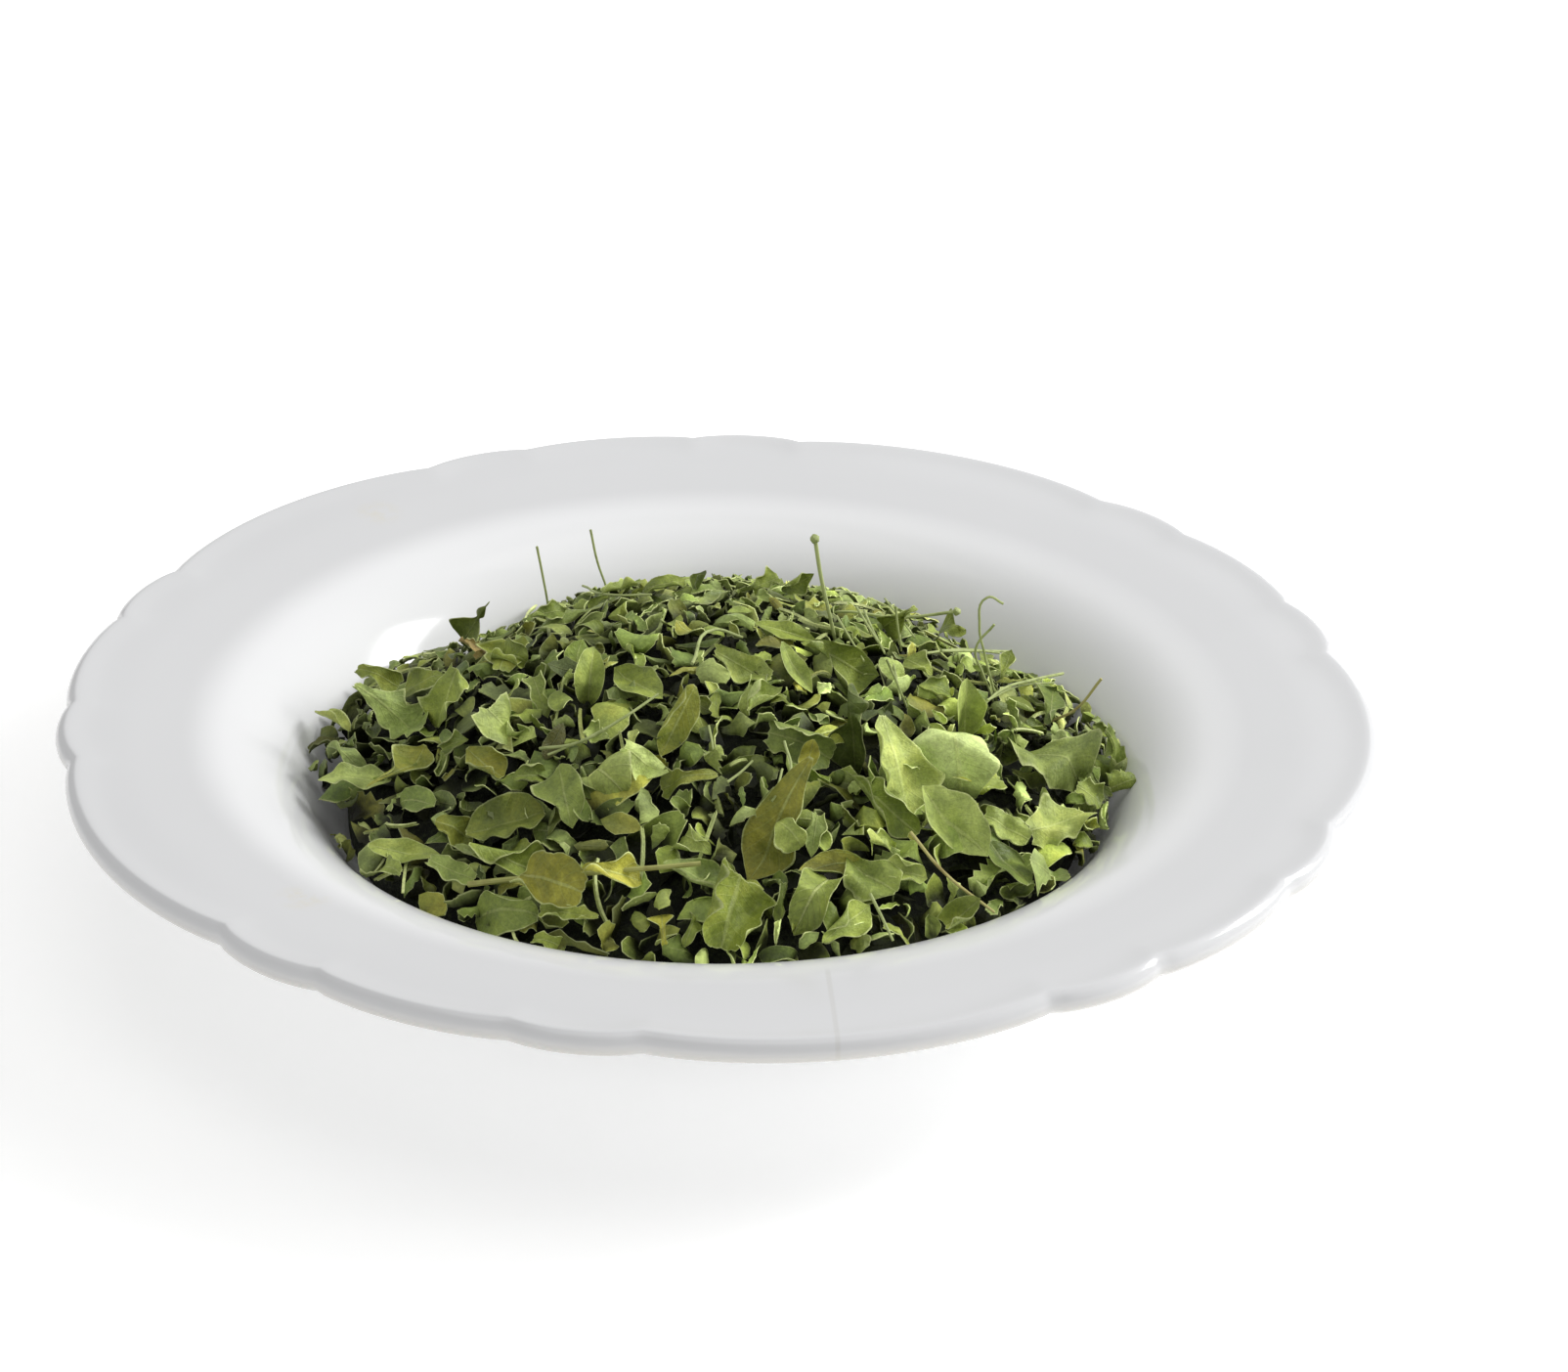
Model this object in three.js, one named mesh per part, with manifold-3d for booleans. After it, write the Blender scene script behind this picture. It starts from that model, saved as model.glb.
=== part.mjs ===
// A porcelain soup plate with a scalloped rim, heaped with dried, crumbled leaves.
//
// Millimetres, +Z up. The origin is the middle of the foot ring, on the surface that the plate stands on.
// +Y is away from the viewer. The plate is one swept solid. The heap is a mound with small leaf pieces
// fused to it, and the large leaf pieces, the twig and the stalks on top are solids of their own, which lie
// in pockets of the heap with a small gap.

import * as THREE from 'three';
import { mergeVertices } from 'three/addons/utils/BufferGeometryUtils.js';
import Module from 'manifold-3d';

const wasm = await Module();
wasm.setup();

// Driving dimensions of the plate
const RIM_RADIUS = 115.2; // mean radius of the lip's middle line
const LIP_RADIUS = 2.2; // half the thickness of the rounded lip
const LIP_HEIGHT = 31; // the lip's middle line above the table
const WALL = 4.2; // porcelain thickness
const SHOULDER_RADIUS = 94.5; // where the gently sloping rim begins to turn down into the well
const RIM_SLOPE = 8; // degrees, from the lip to the shoulder
const WALL_SLOPE = 57; // degrees, at the steepest place of the well's wall
const UPPER_LENGTH = 25; // length of the well's curve from the shoulder to that place
const LOWER_LENGTH = 19; // length of the well's curve from there to the floor
const WELL_STEPS = 10; // flat facets along the whole curve
const FOOT_RADIUS = 44; // middle of the foot ring
const FOOT_WIDTH = 3.2; // flat underside of the foot ring
const SCALLOP_UNITS = 5; // the edge pattern repeats five times round
const SCALLOP_TURN = -6; // degrees, where the middle of one long lobe lies
const SCALLOP_DEPTH = 9; // the scallops grow from this far inside the rim radius

// Driving dimensions of the heap
const HEAP_TOP = 44; // summit of the leaves above the table
const HEAP_FALL = 0.0057; // the heap falls by this times the radius squared
const HEAP_RADIUS = 72.5; // outer edge of the mound under the leaves
const HEAP_SWELL = 5; // at its edge the heap is fuller than that by this, where the leaves lean on the wall
const HEAP_BASE = 1; // the mound starts here, below the floor's face, and is cut to the well
const FLAKE_DEPTH = 3.4; // the leaf pieces stand out of the mound by about this
const FLAKE_COUNT = 134;
const FLAKE_LIFT = 0.4; // height of a leaf piece's root point over the mound
const FLAKE_ROOT_SHARE = 0.2; // that point lies this share of the length from its middle
const GOLDEN_ANGLE = 137.508; // degrees from one leaf piece to the next, which spreads them evenly
const HEAP_SEED = 20260;
const LEAF_THICKNESS = 0.75;
const GAP = 0.35; // clearance between solids that rest on each other
const POCKET_DEPTH = 9; // how far above a large leaf the heap is cleared
const POCKET_TIP = 0.12; // a pocket's tip is this share of its half width wide, so that the gap goes round it
const WAVE_TURN = 2.2; // radians by which the wave of a leaf's edge runs on from row to row
const WAVE_BACK = 0.6; // the left edge waves the other way by this share

const GLAZE_WHITE = { color: 0xe4e5e6, roughness: 0.16, metalness: 0 };
const LEAF_GREEN = { color: 0x5c7336, roughness: 0.8, metalness: 0 };
const LEAF_PALE = { color: 0x94a569, roughness: 0.75, metalness: 0 };
const LEAF_OLIVE = { color: 0x6d7031, roughness: 0.8, metalness: 0 };
const LEAF_YELLOW = { color: 0x9a9336, roughness: 0.75, metalness: 0 };
const STALK_PALE = { color: 0xa3ac70, roughness: 0.7, metalness: 0 };
const STALK_BROWN = { color: 0x97803f, roughness: 0.7, metalness: 0 };

const rad = THREE.MathUtils.degToRad;
const part = new THREE.Group();

/** A seeded source of numbers from 0 to 1, the same on every run. */
function seededRandom(seed) {
  let state = seed;
  return () => {
    state = (state + 0x6d2b79f5) | 0;
    let mixed = Math.imul(state ^ (state >>> 15), 1 | state);
    mixed = (mixed + Math.imul(mixed ^ (mixed >>> 7), 61 | mixed)) ^ mixed;
    return ((mixed ^ (mixed >>> 14)) >>> 0) / 4294967296;
  };
}

/** Adds one named mesh with a material of its own. */
function addPiece(name, geometry, look) {
  geometry.computeVertexNormals();
  const mesh = new THREE.Mesh(geometry, new THREE.MeshStandardMaterial(look));
  mesh.name = name;
  part.add(mesh);
}

/** Makes a solid of a closed geometry, for joining and cutting. */
function toSolid(geometry) {
  const bare = geometry.clone();
  bare.deleteAttribute('normal');
  bare.deleteAttribute('uv');
  const merged = mergeVertices(bare, 1e-4);
  const corners = [];
  for (let i = 0; i < merged.index.count; i += 3) {
    const [a, b, c] = [0, 1, 2].map((step) => merged.index.getX(i + step));
    if (a !== b && b !== c && c !== a) corners.push(a, b, c);
  }
  const mesh = new wasm.Mesh({
    numProp: 3,
    vertProperties: new Float32Array(merged.attributes.position.array),
    triVerts: new Uint32Array(corners),
  });
  return new wasm.Manifold(mesh);
}

/** Turns a solid back into a geometry. */
function toGeometry(solid) {
  const mesh = solid.getMesh();
  const geometry = new THREE.BufferGeometry();
  geometry.setAttribute('position', new THREE.BufferAttribute(new Float32Array(mesh.vertProperties), 3));
  geometry.setIndex(new THREE.BufferAttribute(new Uint32Array(mesh.triVerts), 1));
  return geometry;
}

/** Keeps the largest body of a solid, so that loose scraps and sealed hollows go. */
function largestBody(solid) {
  const bodies = solid.decompose();
  return bodies.reduce((best, body) => (body.volume() > best.volume() ? body : best));
}

/** A solid of revolution round Z from a profile of [radius, height] that runs from the axis, up the outside,
 * and back to the axis. */
function turned(profile, segments) {
  const points = profile.map(([radius, height]) => new THREE.Vector2(radius, height));
  return new THREE.LatheGeometry(points, segments).rotateX(Math.PI / 2);
}

// The plate

// One unit of the scalloped edge, in degrees from the middle of its long lobe: a long lobe, a small one on
// each side, and half of a middling lobe, which the next unit completes.
const UNIT = 360 / SCALLOP_UNITS;
const LONG_LOBE = 17; // degrees from the middle of the long lobe to its end
const SHORT_LOBE = 27.7; // degrees from there to the end of the short lobe beside it
const LOBES = [
  { from: -LONG_LOBE, to: LONG_LOBE, peak: 1.1, notch: -1.9 },
  { from: LONG_LOBE, to: SHORT_LOBE, peak: 0.2, notch: -1.5 },
  { from: SHORT_LOBE, to: UNIT - SHORT_LOBE, peak: 0.1, notch: -1.1 },
  { from: UNIT - SHORT_LOBE, to: UNIT - LONG_LOBE, peak: 0.2, notch: -1.5 },
];
const UNIT_ANGLES = [-17, -13, -7, 0, 7, 13, 17, 19.7, 22.5, 25, 27.7, 31, 36, 41, 44.3, 47, 49.5, 52.3];

/** How far the edge stands out of the mean rim circle at an angle in degrees. */
function scallop(angle) {
  const turned = THREE.MathUtils.euclideanModulo(angle - SCALLOP_TURN + LONG_LOBE, UNIT) - LONG_LOBE;
  const lobe = LOBES.find((one) => turned >= one.from && turned <= one.to) ?? LOBES[0];
  const middle = (lobe.from + lobe.to) / 2;
  const across = (turned - middle) / ((lobe.to - lobe.from) / 2);
  return lobe.notch + (lobe.peak - lobe.notch) * Math.max(0, 1 - across * across) ** 0.8;
}

/** The height of the rim's upper face at a radius. Its slope meets the round lip without a step. */
function rimHeight(radius) {
  return LIP_HEIGHT + LIP_RADIUS - (RIM_RADIUS - radius) * Math.tan(rad(RIM_SLOPE));
}

/**
 * The well's curve from the shoulder down to the floor: it steepens along its upper length and flattens out
 * again along its lower length. The depth is how far under the plate's upper face it lies.
 */
function wellCurve(depth) {
  const finer = 20;
  const count = WELL_STEPS * finer;
  const stretch = (UPPER_LENGTH + LOWER_LENGTH) / count;
  const slopeAt = (step) => {
    const upper = Math.min(1, (step * stretch) / UPPER_LENGTH);
    const lower = Math.max(0, (step * stretch - UPPER_LENGTH) / LOWER_LENGTH);
    return rad((RIM_SLOPE + (WALL_SLOPE - RIM_SLOPE) * upper ** 1.3) * (1 - lower ** 2));
  };
  const points = [];
  let radius = SHOULDER_RADIUS;
  let height = rimHeight(SHOULDER_RADIUS);
  for (let i = 0; i <= count; i += 1) {
    const slope = slopeAt(i);
    if (i % finer === 0) points.push([radius + depth * Math.sin(slope), height - depth * Math.cos(slope)]);
    radius -= stretch * Math.cos(slopeAt(i + 0.5));
    height -= stretch * Math.sin(slopeAt(i + 0.5));
  }
  return points;
}

/** The plate's section from the middle of the underside round the lip to the middle of the floor. */
function plateSection() {
  const well = wellCurve(WALL).reverse();
  const under = well[0][1];
  const section = [
    [0, under],
    [FOOT_RADIUS - FOOT_WIDTH / 2 - 1, under],
    [FOOT_RADIUS - FOOT_WIDTH / 2, 0],
    [FOOT_RADIUS + FOOT_WIDTH / 2, 0],
    [FOOT_RADIUS + FOOT_WIDTH / 2 + 1, under],
    ...well.filter((point, at) => at % 2 === 0),
    [RIM_RADIUS - SCALLOP_DEPTH, rimHeight(RIM_RADIUS - SCALLOP_DEPTH) - WALL],
    [RIM_RADIUS - 3, LIP_HEIGHT - LIP_RADIUS - 0.3],
  ];
  // Round lip, from its underside over the outside to its top.
  for (const turn of [-75, -30, 10, 50, 85]) {
    const height = LIP_HEIGHT + LIP_RADIUS * Math.sin(rad(turn));
    section.push([RIM_RADIUS + LIP_RADIUS * Math.cos(rad(turn)), height]);
  }
  section.push([RIM_RADIUS - 4, rimHeight(RIM_RADIUS - 4) - 0.16]);
  section.push([RIM_RADIUS - SCALLOP_DEPTH, rimHeight(RIM_RADIUS - SCALLOP_DEPTH)]);
  const topside = wellCurve(0);
  section.push(...topside, [0, topside.at(-1)[1]]);
  return section;
}

/** Sweeps the section round, with the scallops growing along the rim up to the lip. */
function plateGeometry() {
  const section = plateSection();
  const angles = [];
  for (let unit = 0; unit < SCALLOP_UNITS; unit += 1) {
    for (const inUnit of UNIT_ANGLES) angles.push(SCALLOP_TURN + unit * UNIT + inUnit);
  }
  // The first and the last point of the section lie on the axis, so each is one point for the whole plate.
  const open = section.slice(1, -1);
  const points = [];
  for (const angle of angles) {
    for (const [radius, height] of open) {
      const share = THREE.MathUtils.smoothstep(radius, RIM_RADIUS - SCALLOP_DEPTH, RIM_RADIUS - 2);
      const reach = radius + share * scallop(angle);
      points.push(reach * Math.cos(rad(angle)), reach * Math.sin(rad(angle)), height);
    }
  }
  const underside = points.length / 3;
  const topside = underside + 1;
  points.push(0, 0, section[0][1], 0, 0, section.at(-1)[1]);
  const faces = [];
  const count = open.length;
  const ring = angles.length;
  for (let i = 0; i < ring; i += 1) {
    const here = i * count;
    const next = ((i + 1) % ring) * count;
    for (let j = 0; j < count - 1; j += 1) {
      faces.push(here + j, next + j, next + j + 1, here + j, next + j + 1, here + j + 1);
    }
    faces.push(underside, next, here);
    faces.push(topside, here + count - 1, next + count - 1);
  }
  const geometry = new THREE.BufferGeometry();
  geometry.setAttribute('position', new THREE.Float32BufferAttribute(points, 3));
  geometry.setIndex(faces);
  return geometry;
}

/** The space that the plate takes below and round the heap, with the clearance, to cut from the heap. */
function wellClearance() {
  const far = SHOULDER_RADIUS + 4;
  const below = HEAP_BASE - 4;
  const inside = wellCurve(-GAP);
  return turned([[0, below], [far, below], [far, inside[0][1]], ...inside, [0, inside.at(-1)[1]]], 60);
}

// Leaves

// Half widths along a leaf piece from its base to its tip, as shares of half the width. A point is 0.
const OUTLINES = {
  oval: [0, 0.72, 1, 0.86, 0],
  blade: [0, 0.9, 1, 0.62, 0],
  cut: [0.78, 1, 0.96, 0.7, 0],
  torn: [0.66, 1, 0.84, 1, 0.5],
  round: [0, 0.86, 1, 0.9, 0],
};
const FLAKE_OUTLINES = [
  [0, 1, 0.8, 0],
  [0.7, 1, 0],
  [0, 0.8, 1, 0],
  [0.6, 1, 0.5],
  [0, 1, 0.7, 0],
];

/**
 * A thin curved leaf piece round the origin, its length along X and its upper face towards +Z. Each row
 * across it has a right edge, a midrib and a left edge, or one point where the leaf ends in a tip. Both faces
 * are split into triangles alike.
 */
function leafGeometry({ length, width, outline, arch = 0, fold = 0, wave = 0, phase = 0, below, above }) {
  const rows = outline.length - 1;
  const points = [];
  const makeSheet = (lift) =>
    outline.map((share, row) => {
      const along = row / rows;
      const x = (along - 0.5) * length;
      const middle = arch * (1 - (2 * along - 1) ** 2) + lift;
      const ripple = wave * Math.sin(phase + row * WAVE_TURN);
      const half = (share * width) / 2;
      const across = share === 0 ? [[0, 0]] : [[-half, ripple], [0, 0], [half, -WAVE_BACK * ripple]];
      return across.map(([y, rise]) => points.push([x, y, middle + fold * Math.abs(y) + rise]) - 1);
    });
  const lower = makeSheet(-below);
  const upper = makeSheet(above);
  const faces = [];
  const addFace = (sheet, turnOver) => {
    const add = (...corners) => faces.push(turnOver ? corners.reverse() : corners);
    for (let row = 0; row < rows; row += 1) {
      const here = sheet[row];
      const next = sheet[row + 1];
      for (const side of [0, 1]) {
        if (here.length === 1) add(here[0], next[side], next[side + 1]);
        else if (next.length === 1) add(here[side], next[0], here[side + 1]);
        else {
          add(here[side], next[side], next[side + 1]);
          add(here[side], next[side + 1], here[side + 1]);
        }
      }
    }
  };
  addFace(upper, false);
  addFace(lower, true);
  // The rim runs along the right edge to the tip, back along the left edge and across the base.
  const rimOf = (sheet) => {
    const right = sheet.map((row) => row[0]);
    const left = sheet.map((row) => row[row.length - 1]).reverse();
    const tip = sheet[rows].length === 3 ? [sheet[rows][1]] : [];
    const base = sheet[0].length === 3 ? [sheet[0][1]] : [];
    const loop = [...right, ...tip, ...left, ...base];
    return loop.filter((corner, at) => corner !== loop[(at + 1) % loop.length]);
  };
  const lowerRim = rimOf(lower);
  const upperRim = rimOf(upper);
  lowerRim.forEach((corner, at) => {
    const after = (at + 1) % lowerRim.length;
    faces.push([corner, lowerRim[after], upperRim[after]], [corner, upperRim[after], upperRim[at]]);
  });
  const geometry = new THREE.BufferGeometry();
  geometry.setAttribute('position', new THREE.Float32BufferAttribute(points.flat(), 3));
  geometry.setIndex(faces.flat());
  return geometry;
}

/** Turns a leaf to its heading, tips it towards the viewer and to the side, and moves it to its place. */
function poseOf({ at, heading, lean = 0, side = 0 }) {
  const turn = new THREE.Euler(rad(lean), rad(side), rad(heading), 'XYZ');
  return new THREE.Matrix4().makeRotationFromEuler(turn).setPosition(...at);
}

/** A large leaf piece in its place. */
function largeLeaf(leaf) {
  const half = LEAF_THICKNESS / 2;
  const shape = { ...leaf, outline: OUTLINES[leaf.kind], below: half, above: half };
  return leafGeometry(shape).applyMatrix4(poseOf(leaf));
}

/** The pocket that a large leaf lies in: its outline with the gap, open upwards through the small pieces. */
function leafPocket(leaf) {
  const shape = {
    ...leaf,
    length: leaf.length + 4 * GAP,
    width: leaf.width + 4 * GAP,
    outline: OUTLINES[leaf.kind].map((share) => (share === 0 ? POCKET_TIP : share)),
    below: LEAF_THICKNESS / 2 + 1.6 * GAP,
    above: POCKET_DEPTH,
  };
  return toSolid(leafGeometry(shape).applyMatrix4(poseOf(leaf)));
}

/** A tube along a smooth curve through the points. */
function tubeGeometry(points, radius) {
  const sides = 6;
  const stepsEach = 2;
  const curve = new THREE.CatmullRomCurve3(points.map((point) => new THREE.Vector3(...point)));
  const section = new THREE.Shape();
  for (let i = 0; i < sides; i += 1) {
    const angle = (i / sides) * 2 * Math.PI;
    const corner = [radius * Math.cos(angle), radius * Math.sin(angle)];
    if (i === 0) section.moveTo(...corner);
    else section.lineTo(...corner);
  }
  section.closePath();
  const steps = (points.length - 1) * stepsEach;
  return new THREE.ExtrudeGeometry(section, { steps, bevelEnabled: false, extrudePath: curve });
}

/** A stalk, with a small knob at its free end where it broke from its node. */
function stalkSolid({ points, radius, knob = 0 }) {
  const tube = toSolid(tubeGeometry(points, radius));
  if (knob === 0) return tube;
  const ball = new THREE.SphereGeometry(knob, 7, 5).translate(...points[0]);
  return largestBody(tube.add(toSolid(ball)));
}

/** The hole that a stalk stands or lies in: its tube with the gap, run past both ends. */
function stalkHole({ points, radius }) {
  const ends = points.map((point) => new THREE.Vector3(...point));
  const first = ends[0].clone().add(ends[0].clone().sub(ends[1]).setLength(2 * GAP));
  const last = ends.at(-1).clone().add(ends.at(-1).clone().sub(ends.at(-2)).setLength(2 * GAP));
  const run = [first, ...ends.slice(1, -1), last].map((point) => point.toArray());
  return toSolid(tubeGeometry(run, radius + 1.2 * GAP));
}

// The large leaf pieces on top of the heap, each by its middle, its size, the direction of its length, and
// how far it tips towards the viewer (lean) and to the right (side), in degrees.
const LARGE_LEAVES = [
  { name: 'leaf_crumpled', look: LEAF_PALE, kind: 'oval', at: [32.0, -32.2, 36.1], heading: -70, lean: 40,
    side: 5, length: 16.7, width: 8.2, arch: 1.2, fold: 0.18, wave: 0.8 },
  { name: 'leaf_blue_green', look: LEAF_PALE, kind: 'torn', at: [42.4, -26.3, 34.7], heading: -81,
    lean: 42, side: 0, length: 13, width: 11.3, arch: 0.8, fold: -0.08, wave: 0.6 },
  { name: 'leaf_dark_upright', look: LEAF_GREEN, kind: 'blade', at: [24.1, -26.5, 39.7], heading: -89,
    lean: 62, side: -8, length: 16.1, width: 4, arch: 0.6, fold: 0.3, wave: 0.3 },
  { name: 'leaf_wrinkled', look: LEAF_GREEN, kind: 'torn', at: [59.2, -14.1, 29.2], heading: -26,
    lean: 38, side: 18, length: 16.1, width: 8.6, arch: 1.2, fold: 0.12, wave: 0.9 },
  { name: 'leaf_folded', look: LEAF_PALE, kind: 'oval', at: [44.6, -10.2, 36.3], heading: -81, lean: 45,
    side: 10, length: 9.3, width: 5.6, arch: 0.5, fold: 0.45, wave: 0.3 },
  { name: 'leaf_long_folded', look: LEAF_PALE, kind: 'oval', at: [41.6, -42.2, 31.7], heading: -46,
    lean: 36, side: 12, length: 16, width: 7, arch: 1, fold: 0.35, wave: 0.6 },
  { name: 'leaf_cut', look: LEAF_GREEN, kind: 'cut', at: [17.2, -61.7, 27.0], heading: -120, lean: 40,
    side: 0, length: 12.1, width: 7, arch: 0.6, fold: 0.1, wave: 0.4 },
  { name: 'leaf_rolled', look: LEAF_GREEN, kind: 'oval', at: [27.1, -54.8, 28.4], heading: -42, lean: 35,
    side: 8, length: 9.6, width: 5.6, arch: 0.9, fold: -0.4, wave: 0.4 },
  { name: 'leaf_right', look: LEAF_PALE, kind: 'oval', at: [60.0, -31.2, 25.6], heading: 30, lean: 35,
    side: 20, length: 13, width: 6, arch: 1, fold: 0.2, wave: 0.5 },
  { name: 'leaf_olive_diagonal', look: LEAF_OLIVE, kind: 'blade', at: [10.7, -48.5, 33.7], heading: -122,
    lean: 34, side: -5, length: 21, width: 8.4, arch: 0.8, fold: 0.12, wave: 0.7 },
  { name: 'leaf_dark_right', look: LEAF_GREEN, kind: 'oval', at: [50.9, -44.6, 25.2], heading: -54,
    lean: 40, side: 10, length: 9.9, width: 6.6, arch: 0.8, fold: 0.3, wave: 0.4 },
  { name: 'leaf_crumpled_left', look: LEAF_PALE, kind: 'cut', at: [-35.1, -22.9, 38.0], heading: -30,
    lean: 30, side: 0, length: 8.7, width: 6.5, arch: 1.2, fold: -0.3, wave: 0.5 },
  { name: 'leaf_wavy_left', look: LEAF_GREEN, kind: 'oval', at: [-48.2, -6.7, 34.7], heading: -127,
    lean: 35, side: -10, length: 8.6, width: 6.7, arch: 0.7, fold: 0.2, wave: 0.8 },
  { name: 'leaf_olive_left', look: LEAF_OLIVE, kind: 'cut', at: [-37.6, 3.5, 39.3], heading: -99,
    lean: 38, side: -5, length: 8.2, width: 6.1, arch: 0.7, fold: 0.15, wave: 0.5 },
  { name: 'leaf_tall_folded', look: LEAF_GREEN, kind: 'oval', at: [-22, -12.4, 42.9], heading: 85,
    lean: 62, side: 0, length: 11.6, width: 4.4, arch: 1, fold: 0.5, wave: 0.3 },
  { name: 'leaf_broad_middle', look: LEAF_GREEN, kind: 'oval', at: [-13.6, -15.6, 43.7], heading: -40,
    lean: 40, side: 0, length: 11, width: 6.4, arch: 0.7, fold: 0.2, wave: 0.5 },
  { name: 'leaf_olive_blade', look: LEAF_OLIVE, kind: 'blade', at: [-6.3, -27, 42.2], heading: -115,
    lean: 42, side: 0, length: 12.6, width: 5.2, arch: 0.5, fold: 0.1, wave: 0.4 },
  { name: 'leaf_light_strip', look: LEAF_PALE, kind: 'cut', at: [-11.6, -37.2, 39.6], heading: -21,
    lean: 42, side: 0, length: 8.5, width: 3.8, arch: 0.5, fold: 0.1, wave: 0.5 },
  { name: 'leaf_ribbed_curl', look: LEAF_PALE, kind: 'cut', at: [-17.7, -40.0, 37.8], heading: -39,
    lean: 38, side: -5, length: 9.8, width: 5.6, arch: 1.6, fold: -0.25, wave: 0.4 },
  { name: 'leaf_long_curved', look: LEAF_GREEN, kind: 'blade', at: [-25.1, -41.5, 35.3], heading: -76,
    lean: 40, side: -5, length: 11.4, width: 5.4, arch: 1.2, fold: 0.3, wave: 0.4 },
  { name: 'leaf_dark_olive', look: LEAF_OLIVE, kind: 'oval', at: [-35.2, -43.6, 31.2], heading: 15,
    lean: 30, side: -8, length: 12, width: 7, arch: 0.8, fold: 0.15, wave: 0.5 },
  { name: 'leaf_pale_left', look: LEAF_PALE, kind: 'oval', at: [-63.4, -19.2, 25.8], heading: 177,
    lean: 22, side: -15, length: 13, width: 5.8, arch: 0.6, fold: 0.2, wave: 0.5 },
  { name: 'leaf_round', look: LEAF_GREEN, kind: 'round', at: [-34.7, -60.7, 23.2], heading: -10, lean: 38,
    side: -5, length: 11.8, width: 7.7, arch: 0.8, fold: 0.05, wave: 0.2 },
  { name: 'leaf_broad_near', look: LEAF_GREEN, kind: 'oval', at: [3.7, -64.6, 26.4], heading: -103,
    lean: 42, side: 0, length: 12.6, width: 9.4, arch: 0.8, fold: 0.12, wave: 0.7 },
];

// The stalks, each from its free end to its root or lower end. A stalk that stands has its root in the heap.
const STALKS = [
  { name: 'stalk_far_left', look: STALK_PALE, radius: 0.4, points: [[-33.6, 27.1, 49.4],
    [-32.6, 27.1, 43.4], [-31.8, 27.2, 38.0], [-31.5, 27.2, 34.4]] },
  { name: 'stalk_left_tall', look: STALK_PALE, radius: 0.4, points: [[-23.9, 30.4, 51.4],
    [-22.7, 30.4, 45.0], [-21.0, 30.4, 39.5], [-20.1, 30.4, 36.0]] },
  { name: 'stalk_long_middle', look: STALK_PALE, radius: 0.45, points: [[-30.0, -29.0, 37.4],
    [-22.9, -32.0, 40.4], [-15.9, -29.7, 43.7], [-9.6, -24.6, 46.1]] },
  { name: 'stalk_pale_bent', look: STALK_PALE, radius: 0.5, points: [[-4, -15.4, 47.4],
    [-0.4, -2.1, 47.5], [4.6, -0.9, 45.4]] },
  { name: 'stalk_thick', look: STALK_PALE, radius: 0.55, knob: 1, points: [[17.2, 7.8, 60.9],
    [18.4, 7.8, 53.4], [19.9, 7.8, 46.6], [21.1, 7.8, 41.1], [21.8, 7.8, 37]] },
  { name: 'stalk_long_knob', look: STALK_PALE, radius: 0.45, knob: 0.85, points: [[43.6, 22.3, 39.8],
    [32.8, 22.3, 38.4], [22.3, 22.3, 39.4], [18.0, 22.3, 38.4]] },
  { name: 'stalk_fork_tall', look: STALK_PALE, radius: 0.4, points: [[51.1, 6.4, 49.3], [48.2, 6.4, 50.5],
    [47.0, 6.4, 44.7], [48.0, 6.4, 39.6], [50.1, 6.4, 31.7], [50.9, 6.4, 29.0]] },
  { name: 'stalk_fork_short', look: STALK_PALE, radius: 0.4, points: [[49.6, 5.3, 45.7],
    [46.4, 5.3, 40.6], [47.8, 5.3, 36.0], [49.4, 5.3, 31.9], [50.3, 5.3, 29.1]] },
  { name: 'stalk_pale_thick', look: STALK_PALE, radius: 0.5, points: [[63.7, 24.6, 26.2],
    [56.8, 12.1, 31.0], [51.2, 2.1, 34.2], [47.6, -4.0, 34.2]] },
  { name: 'stalk_brown', look: STALK_BROWN, radius: 0.4, points: [[69.3, 5.5, 35.0], [64.7, 5.5, 28.5],
    [60.4, 5.5, 26.1], [57.4, 5.6, 24.0]] },
  { name: 'stalk_hooked', look: STALK_PALE, radius: 0.4, points: [[12.3, -35.7, 43.1],
    [13.4, -42.1, 40.5], [10.3, -47.3, 37.7]] },
];

// The leafy twig: its stem from left to right, and its two leaves.
const TWIG_STEM = [
  [-40.7, -54.4, 24.8], [-33.7, -56.5, 27.0], [-26.3, -58.3, 28.9],
  [-15.8, -59.6, 30.8], [-5.8, -59.6, 31.9], [-1.4, -59.1, 32.2],
];
const TWIG_STEM_RADIUS = 0.6;
const TWIG_LEAVES = [
  { kind: 'oval', at: [-26.8, -58.5, 28.5], heading: -12, lean: 38, side: -8, length: 11, width: 7.4,
    arch: 0.7, fold: 0.2, wave: 0.5 },
  { kind: 'oval', at: [-15.6, -59.9, 30.5], heading: -4, lean: 40, side: -5, length: 10.4, width: 5,
    arch: 0.8, fold: 0.3, wave: 0.4 },
];

/** The twig: stem and leaves grown as one piece. */
function twigSolid() {
  const leaves = TWIG_LEAVES.map((leaf) => toSolid(largeLeaf(leaf)));
  const stem = toSolid(tubeGeometry(TWIG_STEM, TWIG_STEM_RADIUS));
  return largestBody(wasm.Manifold.union([stem, ...leaves]));
}

/** The mound's height at a radius: the heap's shape, lowered by the depth that the leaf pieces stand out. */
function moundHeight(radius) {
  return HEAP_TOP - FLAKE_DEPTH - HEAP_FALL * radius ** 2 + HEAP_SWELL * (radius / HEAP_RADIUS) ** 3;
}

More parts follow.
